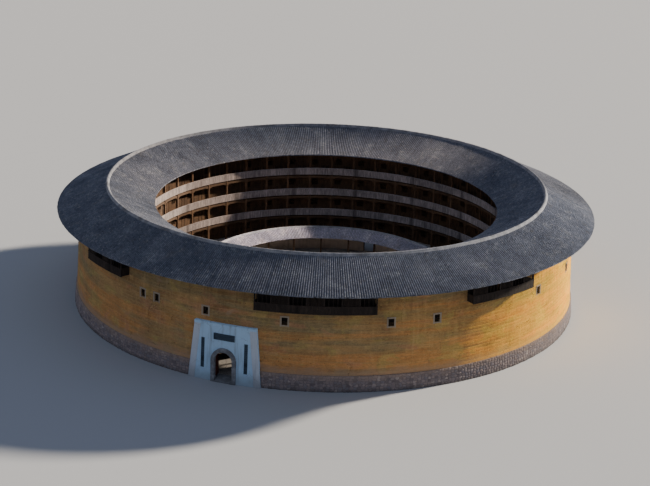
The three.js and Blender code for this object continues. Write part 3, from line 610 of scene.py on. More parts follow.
MATS["rammed_earth"] = material_rammed_earth()
MATS["rubble_stone"] = material_rubble()
MATS["clay_tile"] = material_tile("clay_tile", 768, 624, RIDGE_R)
# the low ring has the same grey tiles, made about twice as bright as painted light
MATS["low_tile"] = material_tile("low_tile", 432, 432, LOW_RIDGE_R, (2.20, 1.96, 1.84))
MATS["ridge_mortar"] = material_mortar()
MATS["gallery_wood"] = material_wood("gallery_wood", (0.040, 0.021, 0.011), (0.092, 0.050, 0.026), (0.165, 0.095, 0.050), 0.22)
MATS["beam_wood"] = material_wood("beam_wood", (0.036, 0.020, 0.011), (0.078, 0.045, 0.025), (0.135, 0.080, 0.045), 9.0, "around")
MATS["rafter_wood"] = material_wood("rafter_wood", (0.045, 0.030, 0.020), (0.090, 0.060, 0.040), (0.150, 0.105, 0.070), 9.0, "radial")
MATS["deck_wood"] = material_wood("deck_wood", (0.050, 0.034, 0.022), (0.100, 0.068, 0.045), (0.160, 0.115, 0.078), 0.25, "radial")
MATS["pale_wood"] = material_wood("pale_wood", (0.118, 0.102, 0.104), (0.232, 0.204, 0.204), (0.425, 0.376, 0.360), 9.0)
# near-black timber: its near-black tone is painted shade, for the lookouts under the eaves
MATS["dark_wood"] = material_wood("dark_wood", (0.012, 0.009, 0.008), (0.028, 0.020, 0.017), (0.055, 0.038, 0.030), 9.0)
MATS["dark_board"] = material_wood("dark_board", (0.022, 0.032, 0.046), (0.042, 0.062, 0.088), (0.070, 0.100, 0.135), 9.0, "around", 1.0, 0.6)
MATS["gate_wood"] = material_wood("gate_wood", (0.050, 0.014, 0.011), (0.110, 0.030, 0.022), (0.175, 0.060, 0.042), 9.0, "vertical", 1.0, 0.7)
MATS["gate_plaster"] = material_plaster("gate_plaster", (0.46, 0.62, 0.76), (0.38, 0.42, 0.45))
MATS["border_plaster"] = material_plaster("border_plaster", (0.53, 0.57, 0.62), (0.38, 0.39, 0.41))
MATS["lime_plaster"] = material_plaster("lime_plaster", (0.56, 0.48, 0.40), (0.32, 0.25, 0.18), (0.0, 1.2))
MATS["sill_plaster"] = material_plaster("sill_plaster", (0.36, 0.30, 0.225), (0.24, 0.18, 0.12), (0.0, 1.2))
MATS["dressed_stone"] = material_dressed("dressed_stone", (0.225, 0.232, 0.248))
MATS["paving_stone"] = material_paving()
MATS["iron"] = material_iron()


def place(o, nodes=(), body="root"):
    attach(o, body)
    if nodes:
        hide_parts(*nodes)
    return o


# ------------------------------------------------------------------ main roof
def corrugated(name, nodes, columns, r_eave, r_ridge, top, amp, steps, under, mat, samples=6, seed=3):
    """One slope of cover and trough tiles in radial rows, closed below by the boarding."""
    phase = {8: [0.0, 0.12, 0.20, 0.30, 0.5, 0.70, 0.80, 0.88], 6: [0.0, 0.16, 0.30, 0.5, 0.70, 0.84], 4: [0.0, 0.28, 0.5, 0.72]}[samples]
    height = {8: [-0.45, -0.39, -0.20, 0.36, 0.55, 0.36, -0.20, -0.39], 6: [-0.45, -0.36, 0.10, 0.55, 0.10, -0.36], 4: [-0.45, 0.05, 0.55, 0.05]}[samples]
    # a cover tile is centred on each column's azimuth
    az = (np.arange(columns)[:, None] + np.array(phase)[None] - 0.5).ravel() * 360.0 / columns
    h = np.tile(np.array(height), columns)
    n = len(az)
    rr = np.linspace(r_eave, r_ridge, steps + 1)
    wave = (vnoise(az[:, None], rr[None] * 0.55, 160, seed) - 0.5) * 0.05 + (vnoise(az[:, None], rr[None] * 1.4, 420, seed + 1) - 0.5) * 0.022
    col = np.repeat((np.random.default_rng(seed).random(columns) - 0.5) * 0.014, samples)
    ragged = np.repeat((np.random.default_rng(seed + 5).random(columns) - 0.5) * 0.05, samples)
    inward = 1 if r_ridge > r_eave else -1
    R = np.broadcast_to(rr[None], (n, steps + 1)).copy()
    R[:, 0] += inward * (0.03 + ragged)
    Z = top(rr)[None] - 0.045 + h[:, None] * amp + wave + col[:, None]
    Z[:, 0] = top(R[:, 0]) - 0.05 + h * amp + wave[:, 0] * 0.5
    loop_r = np.concatenate([R, R[:, -1:], R[:, :1] + inward * 0.02], 1)
    zb = top(rr) - under
    loop_z = np.concatenate([Z, np.full((n, 1), zb[-1]), np.full((n, 1), zb[0] + 0.0) + (loop_r[:, -1:] - r_eave) * 0], 1)
    if inward > 0:      # eave nearer the centre than the ridge
        loop_r, loop_z = loop_r[:, ::-1], loop_z[:, ::-1]
    tone = np.broadcast_to((h[:, None] + 0.45), (n, steps + 1))
    tone = np.concatenate([tone, np.full((n, 2), 0.5)], 1)
    if inward > 0:
        tone = tone[:, ::-1]
    b = Build()
    b.sweep(az, loop_r, loop_z, 0, tone)
    o = b.done(name, [mat], smooth=50)
    return place(o, nodes)


UNDER = 0.16
steps = 9
corrugated("roof_outer_tiles", ["roof_outer_slope"], 768, EAVE_OUT_R - 0.03, RIDGE_R + 0.02, top_out, 0.085, steps, UNDER, MATS["clay_tile"], samples=8, seed=3)
corrugated("roof_inner_tiles", ["roof_inner_slope"], 624, EAVE_IN_R + 0.03, RIDGE_R - 0.02, top_in, 0.085, steps, UNDER, MATS["clay_tile"], samples=8, seed=13)

# ridge: courses of tiles laid in mortar, with a rounded cap
b = Build()
n = 1536
az = np.arange(n) * 360.0 / n
lump = np.where(np.arange(n) % 4 < 2, 0.012, -0.006) + (vnoise(az, az * 0, 300, 31) - 0.5) * 0.03
half = 0.26
rr = np.array([RIDGE_R + half, RIDGE_R + half - 0.03, RIDGE_R + 0.14, RIDGE_R + 0.12, RIDGE_R + 0.06, RIDGE_R - 0.06, RIDGE_R - 0.12, RIDGE_R - 0.14, RIDGE_R - half + 0.03, RIDGE_R - half])
zz = np.array([top_out(RIDGE_R + half) - 0.09, top_out(RIDGE_R + half) + 0.05, RIDGE_Z + 0.04, RIDGE_Z + 0.13, RIDGE_Z + 0.18, RIDGE_Z + 0.18, RIDGE_Z + 0.13, RIDGE_Z + 0.04, top_in(RIDGE_R - half) + 0.05, top_in(RIDGE_R - half) - 0.09])
Z = np.broadcast_to(zz, (n, 10)).copy()
Z[:, 1:-1] += lump[:, None]
Z = np.minimum(Z, RIDGE_Z + 0.199)
b.sweep(az, np.broadcast_to(rr, (n, 10)), Z)
place(b.done("ridge_cap", [MATS["ridge_mortar"]], 35), ["roof_ridge"])


# ------------------------------------------------------------------ timbers under the eaves
def eave_timber(name, node, top, r_tip, r_back, plate, rafters, beams, purlins, inward):
    b = Build()
    az = (np.arange(rafters) + 0.5) * 360.0 / rafters
    u = UNDER + 0.005
    jit = (rng.random(rafters) - 0.5) * 0.03
    r0, r1 = sorted((r_tip, r_back))
    b.prisms(az, -0.05 + jit, 0.05 + jit, r0, r1, top(r0) - u - 0.13, top(r0) - u, top(r1) - u - 0.13, top(r1) - u, mat=0)
    az = (np.arange(beams) + 0.5) * 360.0 / beams
    t = r_tip + (0.35 if inward else -0.35)
    q0, q1 = sorted((t, r_back + (0 if inward else 0)))
    d = 0.3
    b.prisms(az, -0.08, 0.08, q0, q1, top(q0) - d - 0.2, top(q0) - d - 0.003, top(q1) - d - 0.2, top(q1) - d - 0.003, mat=0)
    ring = np.arange(192) * 360.0 / 192
    for (a0, a1, z0, z1) in [plate] + list(purlins):
        b.sweep(ring, [a1, a1, a0, a0], [z0, z1, z1, z0], 1, 0.4)
    return place(b.done(name, [MATS["rafter_wood"], MATS["beam_wood"]], None), [node])


eave_timber("eave_timber_outer", "eave_frame_outer", top_out, EAVE_OUT_R - 0.22, 31.7, (32.0, 32.35, 13.452, 13.62), 384, 48,
            [(34.78, 34.94, top_out(34.94) - 0.46, top_out(34.94) - 0.305), (35.18, 35.24, top_out(35.24) - 0.30, top_out(35.24) - 0.17)], False)
eave_timber("eave_timber_inner", "eave_frame_inner", top_in, EAVE_IN_R + 0.22, 28.4, (24.5, 24.75, 12.955, 13.42), 288, 48,
            [(23.16, 23.32, top_in(23.16) - 0.46, top_in(23.16) - 0.305), (22.86, 22.92, top_in(22.86) - 0.30, top_in(22.86) - 0.17)], True)


# ------------------------------------------------------------------ rammed-earth wall
def shell(b, az, az_in, z, r_out, r_in, mask, mat=0):
    """A curved wall with holes: az, az_in are the sides' azimuths, z the heights, mask the cells that are solid."""
    na, nz = len(az), len(z)
    o = polar(az[:, None], r_out, z[None])
    i = polar(az_in[:, None], r_in, z[None])
    off = na * nz
    idx = np.arange(na * nz).reshape(na, nz)
    A, B, C, D = idx[:-1, :-1], idx[1:, :-1], idx[1:, 1:], idx[:-1, 1:]
    out = []

    def q(sel, *cols):
        out.append(np.stack([c[sel] for c in cols], -1))

    q(mask, A, B, C, D)
    q(mask, A + off, D + off, C + off, B + off)
    pad = np.pad(mask, 1)
    c = pad[1:-1, 1:-1]
    below, above, left, right = pad[1:-1, :-2], pad[1:-1, 2:], pad[:-2, 1:-1], pad[2:, 1:-1]
    q(c & ~below, A, A + off, B + off, B)
    q(c & ~above, D, C, C + off, D + off)
    q(c & ~left, A, D, D + off, A + off)
    q(c & ~right, B, B + off, C + off, C)
    faces = np.concatenate(out)
    pts = np.concatenate([o.reshape(-1, 3), i.reshape(-1, 3)])
    used = np.unique(faces)
    remap = np.full(len(pts), -1)
    remap[used] = np.arange(len(used))
    b.add(pts[used], remap[faces], mat)


COURSE = 0.42


def earth_patch(name, lo, hi, nodes, gate=False):
    holes = []
    for a in WINDOW_AZ:
        a = a % 360 if lo >= 0 and a < 0 else a
        for s in (0, 360, -360):
            if lo < a + s < hi:
                w0, w1 = math.degrees(WINDOW_OUT / 2 / wall_out(8.5)), math.degrees(WINDOW_IN / 2 / WALL_IN)
                holes.append((a + s - w0, a + s + w0, a + s - w1, a + s + w1, *WINDOW_Z))
    for a, _ in LOOKOUTS:
        for s in (0, 360, -360):
            if lo < a + s < hi:
                w0, w1 = math.degrees(LOOK_DOOR[0] / 2 / wall_out(10.5)), math.degrees(LOOK_DOOR[0] / 2 / WALL_IN)
                holes.append((a + s - w0, a + s + w0, a + s - w1, a + s + w1, LOOK_FLOOR + 0.16, LOOK_FLOOR + 0.16 + LOOK_DOOR[1]))
    if gate:
        w0, w1 = math.degrees(math.asin(FRAME_HALF / wall_out(3.2))), math.degrees(math.asin(FRAME_HALF / WALL_IN))
        holes.append((-w0, w0, -w1, w1, -1.0, PASSAGE_TOP))
    holes = sorted(set(holes))
    knots = [(lo, lo), (hi, hi)] + [(h[0], h[2]) for h in holes] + [(h[1], h[3]) for h in holes]
    knots.sort()
    edges = sorted({round(k[0], 6) for k in knots})
    fine = 1.0
    reg = np.linspace(lo, hi, int((hi - lo) / fine) + 1)
    az = np.array(sorted(set(edges) | {round(float(v), 6) for v in reg if min(abs(v - e) for e in edges) > 0.3}))
    az_in = np.interp(az, [k[0] for k in knots], [k[1] for k in knots])
    zs = [PLINTH_TOP + 0.0008]
    k = 1
    while PLINTH_TOP + COURSE * k < WALL_TOP - 0.1:
        c = PLINTH_TOP + COURSE * k
        zs += [c - 0.045, c, c + 0.045]
        k += 1
    zs += [WALL_TOP]
    must = sorted({v for h in holes for v in h[4:6] if PLINTH_TOP < v < WALL_TOP})
    z = np.array(sorted([v for v in zs if all(abs(v - m) > 0.03 for m in must)] + must))
    R = wall_out(z)[None] + np.zeros((len(az), 1))
    amp = (vnoise(az[:, None], z[None] * 0.45, 90, 41) - 0.5) * 0.07 + (vnoise(az[:, None], z[None] * 1.6, 360, 42) - 0.5) * 0.045
    cidx = np.round((z - PLINTH_TOP) / COURSE)
    on = np.abs(z - (PLINTH_TOP + COURSE * cidx)) < 1e-6
    worn = vnoise(az[:, None], cidx[None] * 3.3, 150, 43)
    groove = np.where(on[None], 0.004 + 0.022 * np.clip(worn - 0.45, 0, 1), 0.0)
    shift = (np.random.default_rng(44).random(64)[np.clip(np.floor((z - PLINTH_TOP) / COURSE).astype(int), 0, 63)] - 0.5) * 0.012
    D = -np.abs(amp) * 0.6 - groove + shift[None] - 0.004
    D[:, 0] = D[:, -1] = -0.002
    for h in holes:     # the face is true round the openings
        near = (az >= h[0] - 0.05) & (az <= h[1] + 0.05)
        nz = (z >= h[4] - 0.2) & (z <= h[5] + 0.2)
        D[np.ix_(near, nz)] = np.minimum(D[np.ix_(near, nz)], 0) * 0.25
    R = R + D
    mid_a, mid_z = (az[:-1] + az[1:]) / 2, (z[:-1] + z[1:]) / 2
    mask = np.ones((len(az) - 1, len(z) - 1), bool)
    for h in holes:
        mask[np.ix_((mid_a > h[0]) & (mid_a < h[1]), (mid_z > h[4]) & (mid_z < h[5]))] = False
    b = Build()
    shell(b, az, az_in, z, R, np.full((len(az), len(z)), WALL_IN), mask)
    return place(b.done(name, [MATS["rammed_earth"]], 35), nodes)


for i in range(len(WALL_SEAMS) - 1):
    earth_patch(f"earth_face_{i + 1}", WALL_SEAMS[i] + 0.0008, WALL_SEAMS[i + 1] - 0.0008, [f"earth_wall_{i + 1}"])
earth_patch("earth_face_gate", -GATE_SECTOR + 0.0008, GATE_SECTOR - 0.0008, ["gate_wall_left", "gate_wall_right", "gate_wall_over"], True)

# ------------------------------------------------------------------ rubble plinth
b = Build()
ends = math.degrees(math.asin(FRAME_HALF / 33.2))
na = 2880
az = np.linspace(ends, 360 - ends, na)
zf = np.linspace(0.0, PLINTH_TOP, 28)
AZ, ZF = np.meshgrid(az, zf, indexing="ij")
cu, cv = 0.46, 0.33
U, V = np.radians(AZ) * 33.2 / cu, ZF / cv
tab = np.random.default_rng(51)
nu_c = int(round(2 * PI * 33.2 / cu)) + 2
jx, jy, jt = tab.random((nu_c, 16)), tab.random((nu_c, 16)), tab.random((nu_c, 16))
iu, iv = np.floor(U).astype(int), np.floor(V).astype(int)
best = np.full(U.shape, 9.0)
second = np.full(U.shape, 9.0)
tone = np.zeros(U.shape)
for du in (-1, 0, 1):
    for dv in (-1, 0, 1):
        a_, b_ = (iu + du) % nu_c, np.clip(iv + dv, -2, 12) + 3
        px = iu + du + 0.5 + (jx[a_, b_] - 0.5) * 0.62
        py = iv + dv + 0.5 + (jy[a_, b_] - 0.5) * 0.55
        d = np.hypot((U - px) * 1.0, (V - py) * 1.0)
        t_ = 0.15 + 0.85 * jt[a_, b_]
        closer = d < best
        second = np.where(closer, best, np.minimum(second, d))
        tone = np.where(closer, t_, tone)
        best = np.minimum(best, d)
edge = np.clip((second - best) / 0.30, 0, 1)
edge = edge * edge * (3 - 2 * edge)
dome = edge * (0.055 + 0.035 * tone) - 0.075
R = PLINTH_BASE + (PLINTH_HEAD - PLINTH_BASE) * ZF / PLINTH_TOP + dome + (vnoise(AZ, ZF * 0.8, 300, 52) - 0.5) * 0.02
R[:, 0] = np.minimum(R[:, 0], PLINTH_BASE - 0.01)
loop_r = np.concatenate([R, np.full((na, 2), WALL_IN)], 1)
loop_z = np.concatenate([ZF, np.full((na, 1), PLINTH_TOP), np.zeros((na, 1))], 1)
tones = np.concatenate([np.where(edge < 0.35, 0.0, tone), np.full((na, 2), 0.6)], 1)
b.sweep(az, loop_r, loop_z, 0, tones, closed=False)
place(b.done("plinth_stones", [MATS["rubble_stone"]], 179), [n for n in frame["nodes"] if n.startswith("stone_plinth")])

# ------------------------------------------------------------------ windows: pale surround, timber frame and bars
b = Build()
for a in WINDOW_AZ:
    zc0, zc1 = WINDOW_Z
    ro = wall_out(8.5)
    w = WINDOW_OUT / 2
    f = 0.19
    for (t0, t1, z0, z1) in [(-w - f, -w, zc0 - f, zc1 + f), (w, w + f, zc0 - f, zc1 + f), (-w, w, zc1, zc1 + f), (-w, w, zc0 - f, zc0)]:
        b.prisms(a, t0, t1, ro - 0.10, ro + 0.022, z0, z1, mat=0, tone=0.5)
    ff = 0.055
    for (t0, t1, z0, z1) in [(-w, -w + ff, zc0, zc1), (w - ff, w, zc0, zc1), (-w + ff, w - ff, zc1 - ff, zc1), (-w + ff, w - ff, zc0, zc0 + ff)]:
        b.prisms(a, t0, t1, ro - 0.34, ro - 0.20, z0, z1, mat=1)
    bars = np.linspace(-w + ff, w - ff, 6)[1:-1]
    b.prisms(a, bars - 0.018, bars + 0.018, ro - 0.30, ro - 0.26, zc0 + ff, zc1 - ff, mat=1)
place(b.done("window_frames", [MATS["sill_plaster"], MATS["dark_wood"]]))

# ------------------------------------------------------------------ gate front
b = Build()
zc = np.linspace(0.0, PANEL_TOP, 12)
cols = 33
rows = []
for zz_ in zc:
    hw = PANEL_HALF_BASE + (PANEL_HALF_TOP - PANEL_HALF_BASE) * zz_ / PANEL_TOP
    x = np.linspace(-hw, hw, cols)
    rows.append(np.degrees(np.arcsin(x / 33.3)))
AZP = np.array(rows).T
ZP = np.broadcast_to(zc, AZP.shape)
inner_r = np.where(zc < PLINTH_TOP + 0.01, PLINTH_BASE + 0.002, wall_out(np.maximum(zc, PLINTH_TOP)) + 0.002)
o_pts = polar(AZP, panel_out(ZP), ZP)
i_pts = polar(AZP, np.broadcast_to(inner_r, AZP.shape), ZP)
idx = np.arange(cols * len(zc)).reshape(cols, len(zc))
off = idx.size
A, B_, C_, D_ = idx[:-1, :-1], idx[1:, :-1], idx[1:, 1:], idx[:-1, 1:]
fs = [np.stack([A, B_, C_, D_], -1).reshape(-1, 4), np.stack([A, D_, C_, B_], -1).reshape(-1, 4) + off,
      np.stack([idx[:-1, 0], idx[:-1, 0] + off, idx[1:, 0] + off, idx[1:, 0]], -1),
      np.stack([idx[:-1, -1], idx[1:, -1], idx[1:, -1] + off, idx[:-1, -1] + off], -1),
      np.stack([idx[0, :-1], idx[0, 1:], idx[0, 1:] + off, idx[0, :-1] + off], -1),
      np.stack([idx[-1, :-1], idx[-1, :-1] + off, idx[-1, 1:] + off, idx[-1, 1:]], -1)]
b.add(np.concatenate([o_pts.reshape(-1, 3), i_pts.reshape(-1, 3)]), fs)
panel = b.done("gate_panel", [MATS["gate_plaster"]])
hole = prism_y("hole", arch(FRAME_HALF - 0.02, DOOR_SPRING, -1.0), -34.5, -32.0, [])
cut(panel, hole)
hole = prism_y("hole_back", [[-FRAME_HALF, -1.0], [FRAME_HALF, -1.0], [FRAME_HALF, PASSAGE_TOP], [-FRAME_HALF, PASSAGE_TOP]], -FRAME_BACK, -32.0, [])
cut(panel, hole)
panel.data.shade_smooth()
panel.data.set_sharp_from_angle(angle=math.radians(30))
place(panel, ["gate_plaster"])

# raised border and a thin cornice on the plaster, with two plain strips beside the door
b = Build()


def strip_on_panel(b, x0, x1, z0, z1, proud, mat, n=8, tone=0.5):
    zr = np.linspace(z0, z1, n)
    for k in range(n - 1):
        for (p0, p1) in [(x0, x1)]:
            a0, a1 = (zr[k], zr[k + 1])
            pts = []
            for zq in (a0, a1):
                for xq in (p0, p1):
                    xq = xq(zq) if callable(xq) else xq
                    rq = panel_out(zq)
                    azq = math.degrees(math.asin(xq / 33.3))
                    pts.append(polar(azq, rq + proud, zq))
                    pts.append(polar(azq, rq - 0.03, zq))
            p = np.array(pts)      # 0 L out,1 L in,2 R out,3 R in at a0; 4.. at a1
            f = [[0, 2, 6, 4], [1, 5, 7, 3], [0, 4, 5, 1], [2, 3, 7, 6]]
            if k == 0:
                f.append([0, 1, 3, 2])
            if k == n - 2:
                f.append([4, 6, 7, 5])
            b.add(p, np.array(f), mat, tone)


half_at = lambda zq: PANEL_HALF_BASE + (PANEL_HALF_TOP - PANEL_HALF_BASE) * zq / PANEL_TOP
for s in (-1, 1):
    cx = 2.78 * s
    strip_on_panel(b, cx - 0.30, cx + 0.30, 1.45, 5.35, 0.03, 0)
    strip_on_panel(b, cx - 0.22, cx + 0.22, 1.53, 5.27, 0.045, 1)
place(b.done("gate_strips", [MATS["gate_plaster"], MATS["dark_board"]]))

b = Build()
strip_on_panel(b, lambda q: -half_at(q) + 0.03, lambda q: -half_at(q) + 0.86, 0.02, PANEL_TOP - 0.36, 0.035, 0, 12)
strip_on_panel(b, lambda q: half_at(q) - 0.86, lambda q: half_at(q) - 0.03, 0.02, PANEL_TOP - 0.36, 0.035, 0, 12)
place(b.done("gate_border", [MATS["border_plaster"]]))

b = Build()
for (z0, z1, pr) in [(PANEL_TOP - 0.34, PANEL_TOP - 0.20, 0.05), (PANEL_TOP - 0.20, PANEL_TOP - 0.06, 0.09)]:
    azs = np.linspace(-math.degrees(math.asin(PANEL_HALF_TOP / 33.3)) - 0.03, math.degrees(math.asin(PANEL_HALF_TOP / 33.3)) + 0.03, 25)
    b.sweep(azs, [panel_out(z0) + pr, panel_out(z1) + pr, panel_out(z1) - 0.05, panel_out(z0) - 0.05], [z0, z1, z1, z0], 0, 0.5, closed=False)
place(b.done("gate_cornice", [MATS["gate_plaster"]], 30))

# dressed-stone arch in single blocks
b = Build()
JOINT = 0.012


def voussoir(b, a0, a1, r0, r1, y0, y1, tone):
    n = 5
    ang = np.linspace(a0, a1, n)
    pts = []
    for y in (y0, y1):
        for r in (r0, r1):
            for q in ang:
                pts.append([r * math.cos(q), y, DOOR_SPRING + r * math.sin(q)])
    pts = np.array(pts)
    i = lambda yy, rr, k: yy * 2 * n + rr * n + k
    f4 = []
    for k in range(n - 1):
        f4.append([i(0, 0, k), i(0, 1, k), i(0, 1, k + 1), i(0, 0, k + 1)])
        f4.append([i(1, 0, k), i(1, 0, k + 1), i(1, 1, k + 1), i(1, 1, k)])
        f4.append([i(0, 0, k), i(0, 0, k + 1), i(1, 0, k + 1), i(1, 0, k)])
        f4.append([i(0, 1, k), i(1, 1, k), i(1, 1, k + 1), i(0, 1, k + 1)])
    f4.append([i(0, 0, 0), i(1, 0, 0), i(1, 1, 0), i(0, 1, 0)])
    f4.append([i(0, 0, n - 1), i(0, 1, n - 1), i(1, 1, n - 1), i(1, 0, n - 1)])
    b.add(pts, np.array(f4), 0, tone)


count = 11
for k in range(count):
    g = JOINT / DOOR_HALF / 2
    key = k == count // 2
    voussoir(b, PI * k / count + g, PI * (k + 1) / count - g, DOOR_HALF, FRAME_HALF - 0.004, -FRAME_FRONT - (0.0 if not key else -0.0), -FRAME_BACK - 0.004, rng.random())
zs_ = [SILL + 0.002, 0.85, 1.45, 2.15, DOOR_SPRING]
for s in (-1, 1):
    for k in range(4):
        x0, x1 = sorted((s * DOOR_HALF, s * (FRAME_HALF - 0.004)))
        b.prisms(0, x0, x1, FRAME_BACK + 0.004, FRAME_FRONT, zs_[k] + (JOINT / 2 if k else 0), zs_[k + 1] - JOINT / 2, mat=0)
arch_o = b.done("arch_stones", [MATS["dressed_stone"]])
bevel(arch_o, 0.012 * K, 1)
place(arch_o, ["gate_arch"])

b = Build()
b.prisms(0, [-1.598, -0.53, 0.54], [-0.54, 0.53, 1.598], 32.8, FRAME_FRONT, 0.0, SILL, mat=0)
b.prisms(0, [-1.598, -0.2], [-0.21, 1.598], WALL_IN + 0.03, 32.79, 0.0, SILL, mat=0)
sill_o = b.done("threshold_stones", [MATS["dressed_stone"]])
bevel(sill_o, 0.012 * K, 1)
place(sill_o, ["gate_threshold"])

# blank board in a moulded frame
b = Build()
yb = panel_out(5.3)
b.prisms(0, -1.28, 1.28, yb + 0.005, yb + 0.055, 5.39, 6.05, mat=0, tone=0.5)
for (x0, x1, z0, z1) in [(-1.35, -1.27, 5.32, 6.12), (1.27, 1.35, 5.32, 6.12), (-1.27, 1.27, 5.32, 5.40), (-1.27, 1.27, 6.04, 6.12)]:
    b.prisms(0, x0, x1, yb + 0.002, yb + 0.098, z0, z1, mat=1, tone=0.8)
board_o = b.done("board_blank", [MATS["dark_board"], MATS["dark_board"]])
bevel(board_o, 0.01 * K, 1)
place(board_o, ["name_board"])


# gate leaves: planks, ledges, studs, a ring and the pivot post
def gate_leaf(side, node, body):
    b = Build()
    foot = SILL + 0.04
    L = HINGE_X - 0.012
    x = side * HINGE_X
    planks = 6
    y_edges = np.linspace(HINGE_Y + 0.06, HINGE_Y + L, planks + 1)
    face = -side          # the face that looks into the passage
    th = 0.035
    for k in range(planks):
        b.prisms(0, x - th, x + th, -y_edges[k + 1] + 0.003, -y_edges[k] - 0.003, foot + 0.005, LEAF_TOP - 0.005, mat=0)
    for zc_ in (foot + 0.35, foot + 1.55, foot + 2.75, LEAF_TOP - 0.3):
        t0, t1 = sorted((x - face * th * 0.98, x - face * 0.05))
        b.prisms(0, t0, t1, -(HINGE_Y + L - 0.03), -(HINGE_Y + 0.02), zc_ - 0.08, zc_ + 0.08, mat=0)
    m = 12
    ang = np.arange(m) * 2 * PI / m
    z0, z1 = foot - 0.025, LEAF_TOP + 0.05
    ring = np.stack([x + 0.064 * np.cos(ang), HINGE_Y + 0.064 * np.sin(ang)], -1)
    pts = np.concatenate([np.column_stack([ring, np.full(m, z0)]), np.column_stack([ring, np.full(m, z1)])])
    q = np.array([[k, (k + 1) % m, m + (k + 1) % m, m + k] for k in range(m)])
    b.add(pts, [q, np.array([list(range(m))[::-1]]), np.array([list(range(m, 2 * m))])], 0, 0.3)
    # iron studs in rows on the outer face, and a ring handle
    ys = np.linspace(HINGE_Y + 0.2, HINGE_Y + L - 0.12, 6)
    zs2 = [foot + 0.95, foot + 1.25, foot + 2.1, foot + 2.4, foot + 3.3, foot + 3.55]
    for yy in ys:
        for zz2 in zs2:
            pts, r_ = [], 0.028
            for q_ in range(6):
                c_, s_ = math.cos(q_ * PI / 3), math.sin(q_ * PI / 3)
                pts.append([x + face * th * 0.95, yy + r_ * c_, zz2 + r_ * s_])
            for q_ in range(6):
                c_, s_ = math.cos(q_ * PI / 3), math.sin(q_ * PI / 3)
                pts.append([x + face * 0.044, yy + r_ * 0.6 * c_, zz2 + r_ * 0.6 * s_])
            f = [[q_, (q_ + 1) % 6, 6 + (q_ + 1) % 6, 6 + q_] for q_ in range(6)]
            caps = [list(range(6))[::-1], list(range(6, 12))]
            if face < 0:
                f = [u[::-1] for u in f]
                caps = [u[::-1] for u in caps]
            b.add(np.array(pts), [np.array(f), np.array(caps)], 1, 0.5)
    tor = []
    R_, r_ = 0.075, 0.011
    for i_ in range(16):
        for j_ in range(6):
            p_, q_ = i_ * 2 * PI / 16, j_ * PI / 3
            tor.append([x + face * (0.040 + 0.0 + r_ * 0.8 * math.sin(q_) * 0.8), HINGE_Y + L - 0.16 + (R_ + r_ * math.cos(q_)) * math.cos(p_), foot + 1.68 + (R_ + r_ * math.cos(q_)) * math.sin(p_)])
    f = np.array([[i_ * 6 + j_, ((i_ + 1) % 16) * 6 + j_, ((i_ + 1) % 16) * 6 + (j_ + 1) % 6, i_ * 6 + (j_ + 1) % 6] for i_ in range(16) for j_ in range(6)])
    b.add(np.array(tor), f if face > 0 else f[:, ::-1], 1, 0.5)
    o = b.done(f"{node}_planks", [MATS["gate_wood"], MATS["iron"]])
    return place(o, [node], body)


gate_leaf(-1, "gate_leaf_left", "left_leaf")
gate_leaf(1, "gate_leaf_right", "right_leaf")

# ------------------------------------------------------------------ galleries
R192 = np.arange(192) * 360.0 / 192
b = Build()
b.sweep(R192, [WALL_IN - 0.002, WALL_IN - 0.002, 24.32, 24.32], [0, FLOORS[0] - 0.01, FLOORS[0] - 0.01, 0], 0, 0.5)
kerb = 120
az = (np.arange(kerb) + 0.5) * 360 / kerb
w_ = 2 * PI * 24.0 / kerb
b.prisms(az, -w_ / 2 + 0.008, w_ / 2 - 0.008, 24.01, 24.32, 0.0, FLOORS[0], mat=1)
place(b.done("ground_floor_stones", [MATS["paving_stone"], MATS["dressed_stone"]]), ["ground_floor"])

for s in range(1, 4):
    z1 = FLOORS[s]
    b = Build()
    b.sweep(R192, [WALL_IN - 0.002, WALL_IN - 0.002, 24.74, 24.74], [z1 - 0.05, z1, z1, z1 - 0.05], 0, 0.5)
    nj = 192
    az = (np.arange(nj) + 0.5) * 360 / nj
    b.prisms(az, -0.06, 0.06, 24.75, WALL_IN - 0.01, z1 - 0.25, z1 - 0.052, mat=1)
    place(b.done(f"gallery_boards_{s + 1}", [MATS["deck_wood"], MATS["rafter_wood"]]), [f"gallery_floor_{s + 1}"])

# boarded rails on the front of the posts
for s in range(1, 4):
    z0, z1 = FLOORS[s] - 0.08, FLOORS[s] + 0.92
    b = Build()
    b.sweep(R192, [24.45, 24.45, 24.40, 24.40], [z0, z0 + 0.12, z0 + 0.12, z0], 0, 0.55)
    b.sweep(R192, [24.455, 24.455, 24.305, 24.305], [z1 - 0.07, z1, z1, z1 - 0.07], 0, 0.75)
    per = 18
    nb = BAYS * per
    az = (np.arange(nb) + 0.5) * 360 / nb
    w_ = 2 * PI * 24.35 / nb
    jit = (rng.random(nb) - 0.5) * 0.012
    b.prisms(az, -w_ / 2 + 0.006, w_ / 2 - 0.006, 24.33 + jit, 24.36 + jit, z0 + 0.0, z1 - 0.06, mat=0)
    b.sweep(R192, [24.40, 24.40, 24.362, 24.362], [z0 + 0.30, z0 + 0.38, z0 + 0.38, z0 + 0.30], 0, 0.3)
    b.sweep(R192, [24.40, 24.40, 24.362, 24.362], [z1 - 0.28, z1 - 0.20, z1 - 0.20, z1 - 0.28], 0, 0.3)
    place(b.done(f"rail_boards_{s + 1}", [MATS["pale_wood"]]), [f"gallery_parapet_{s + 1}"])

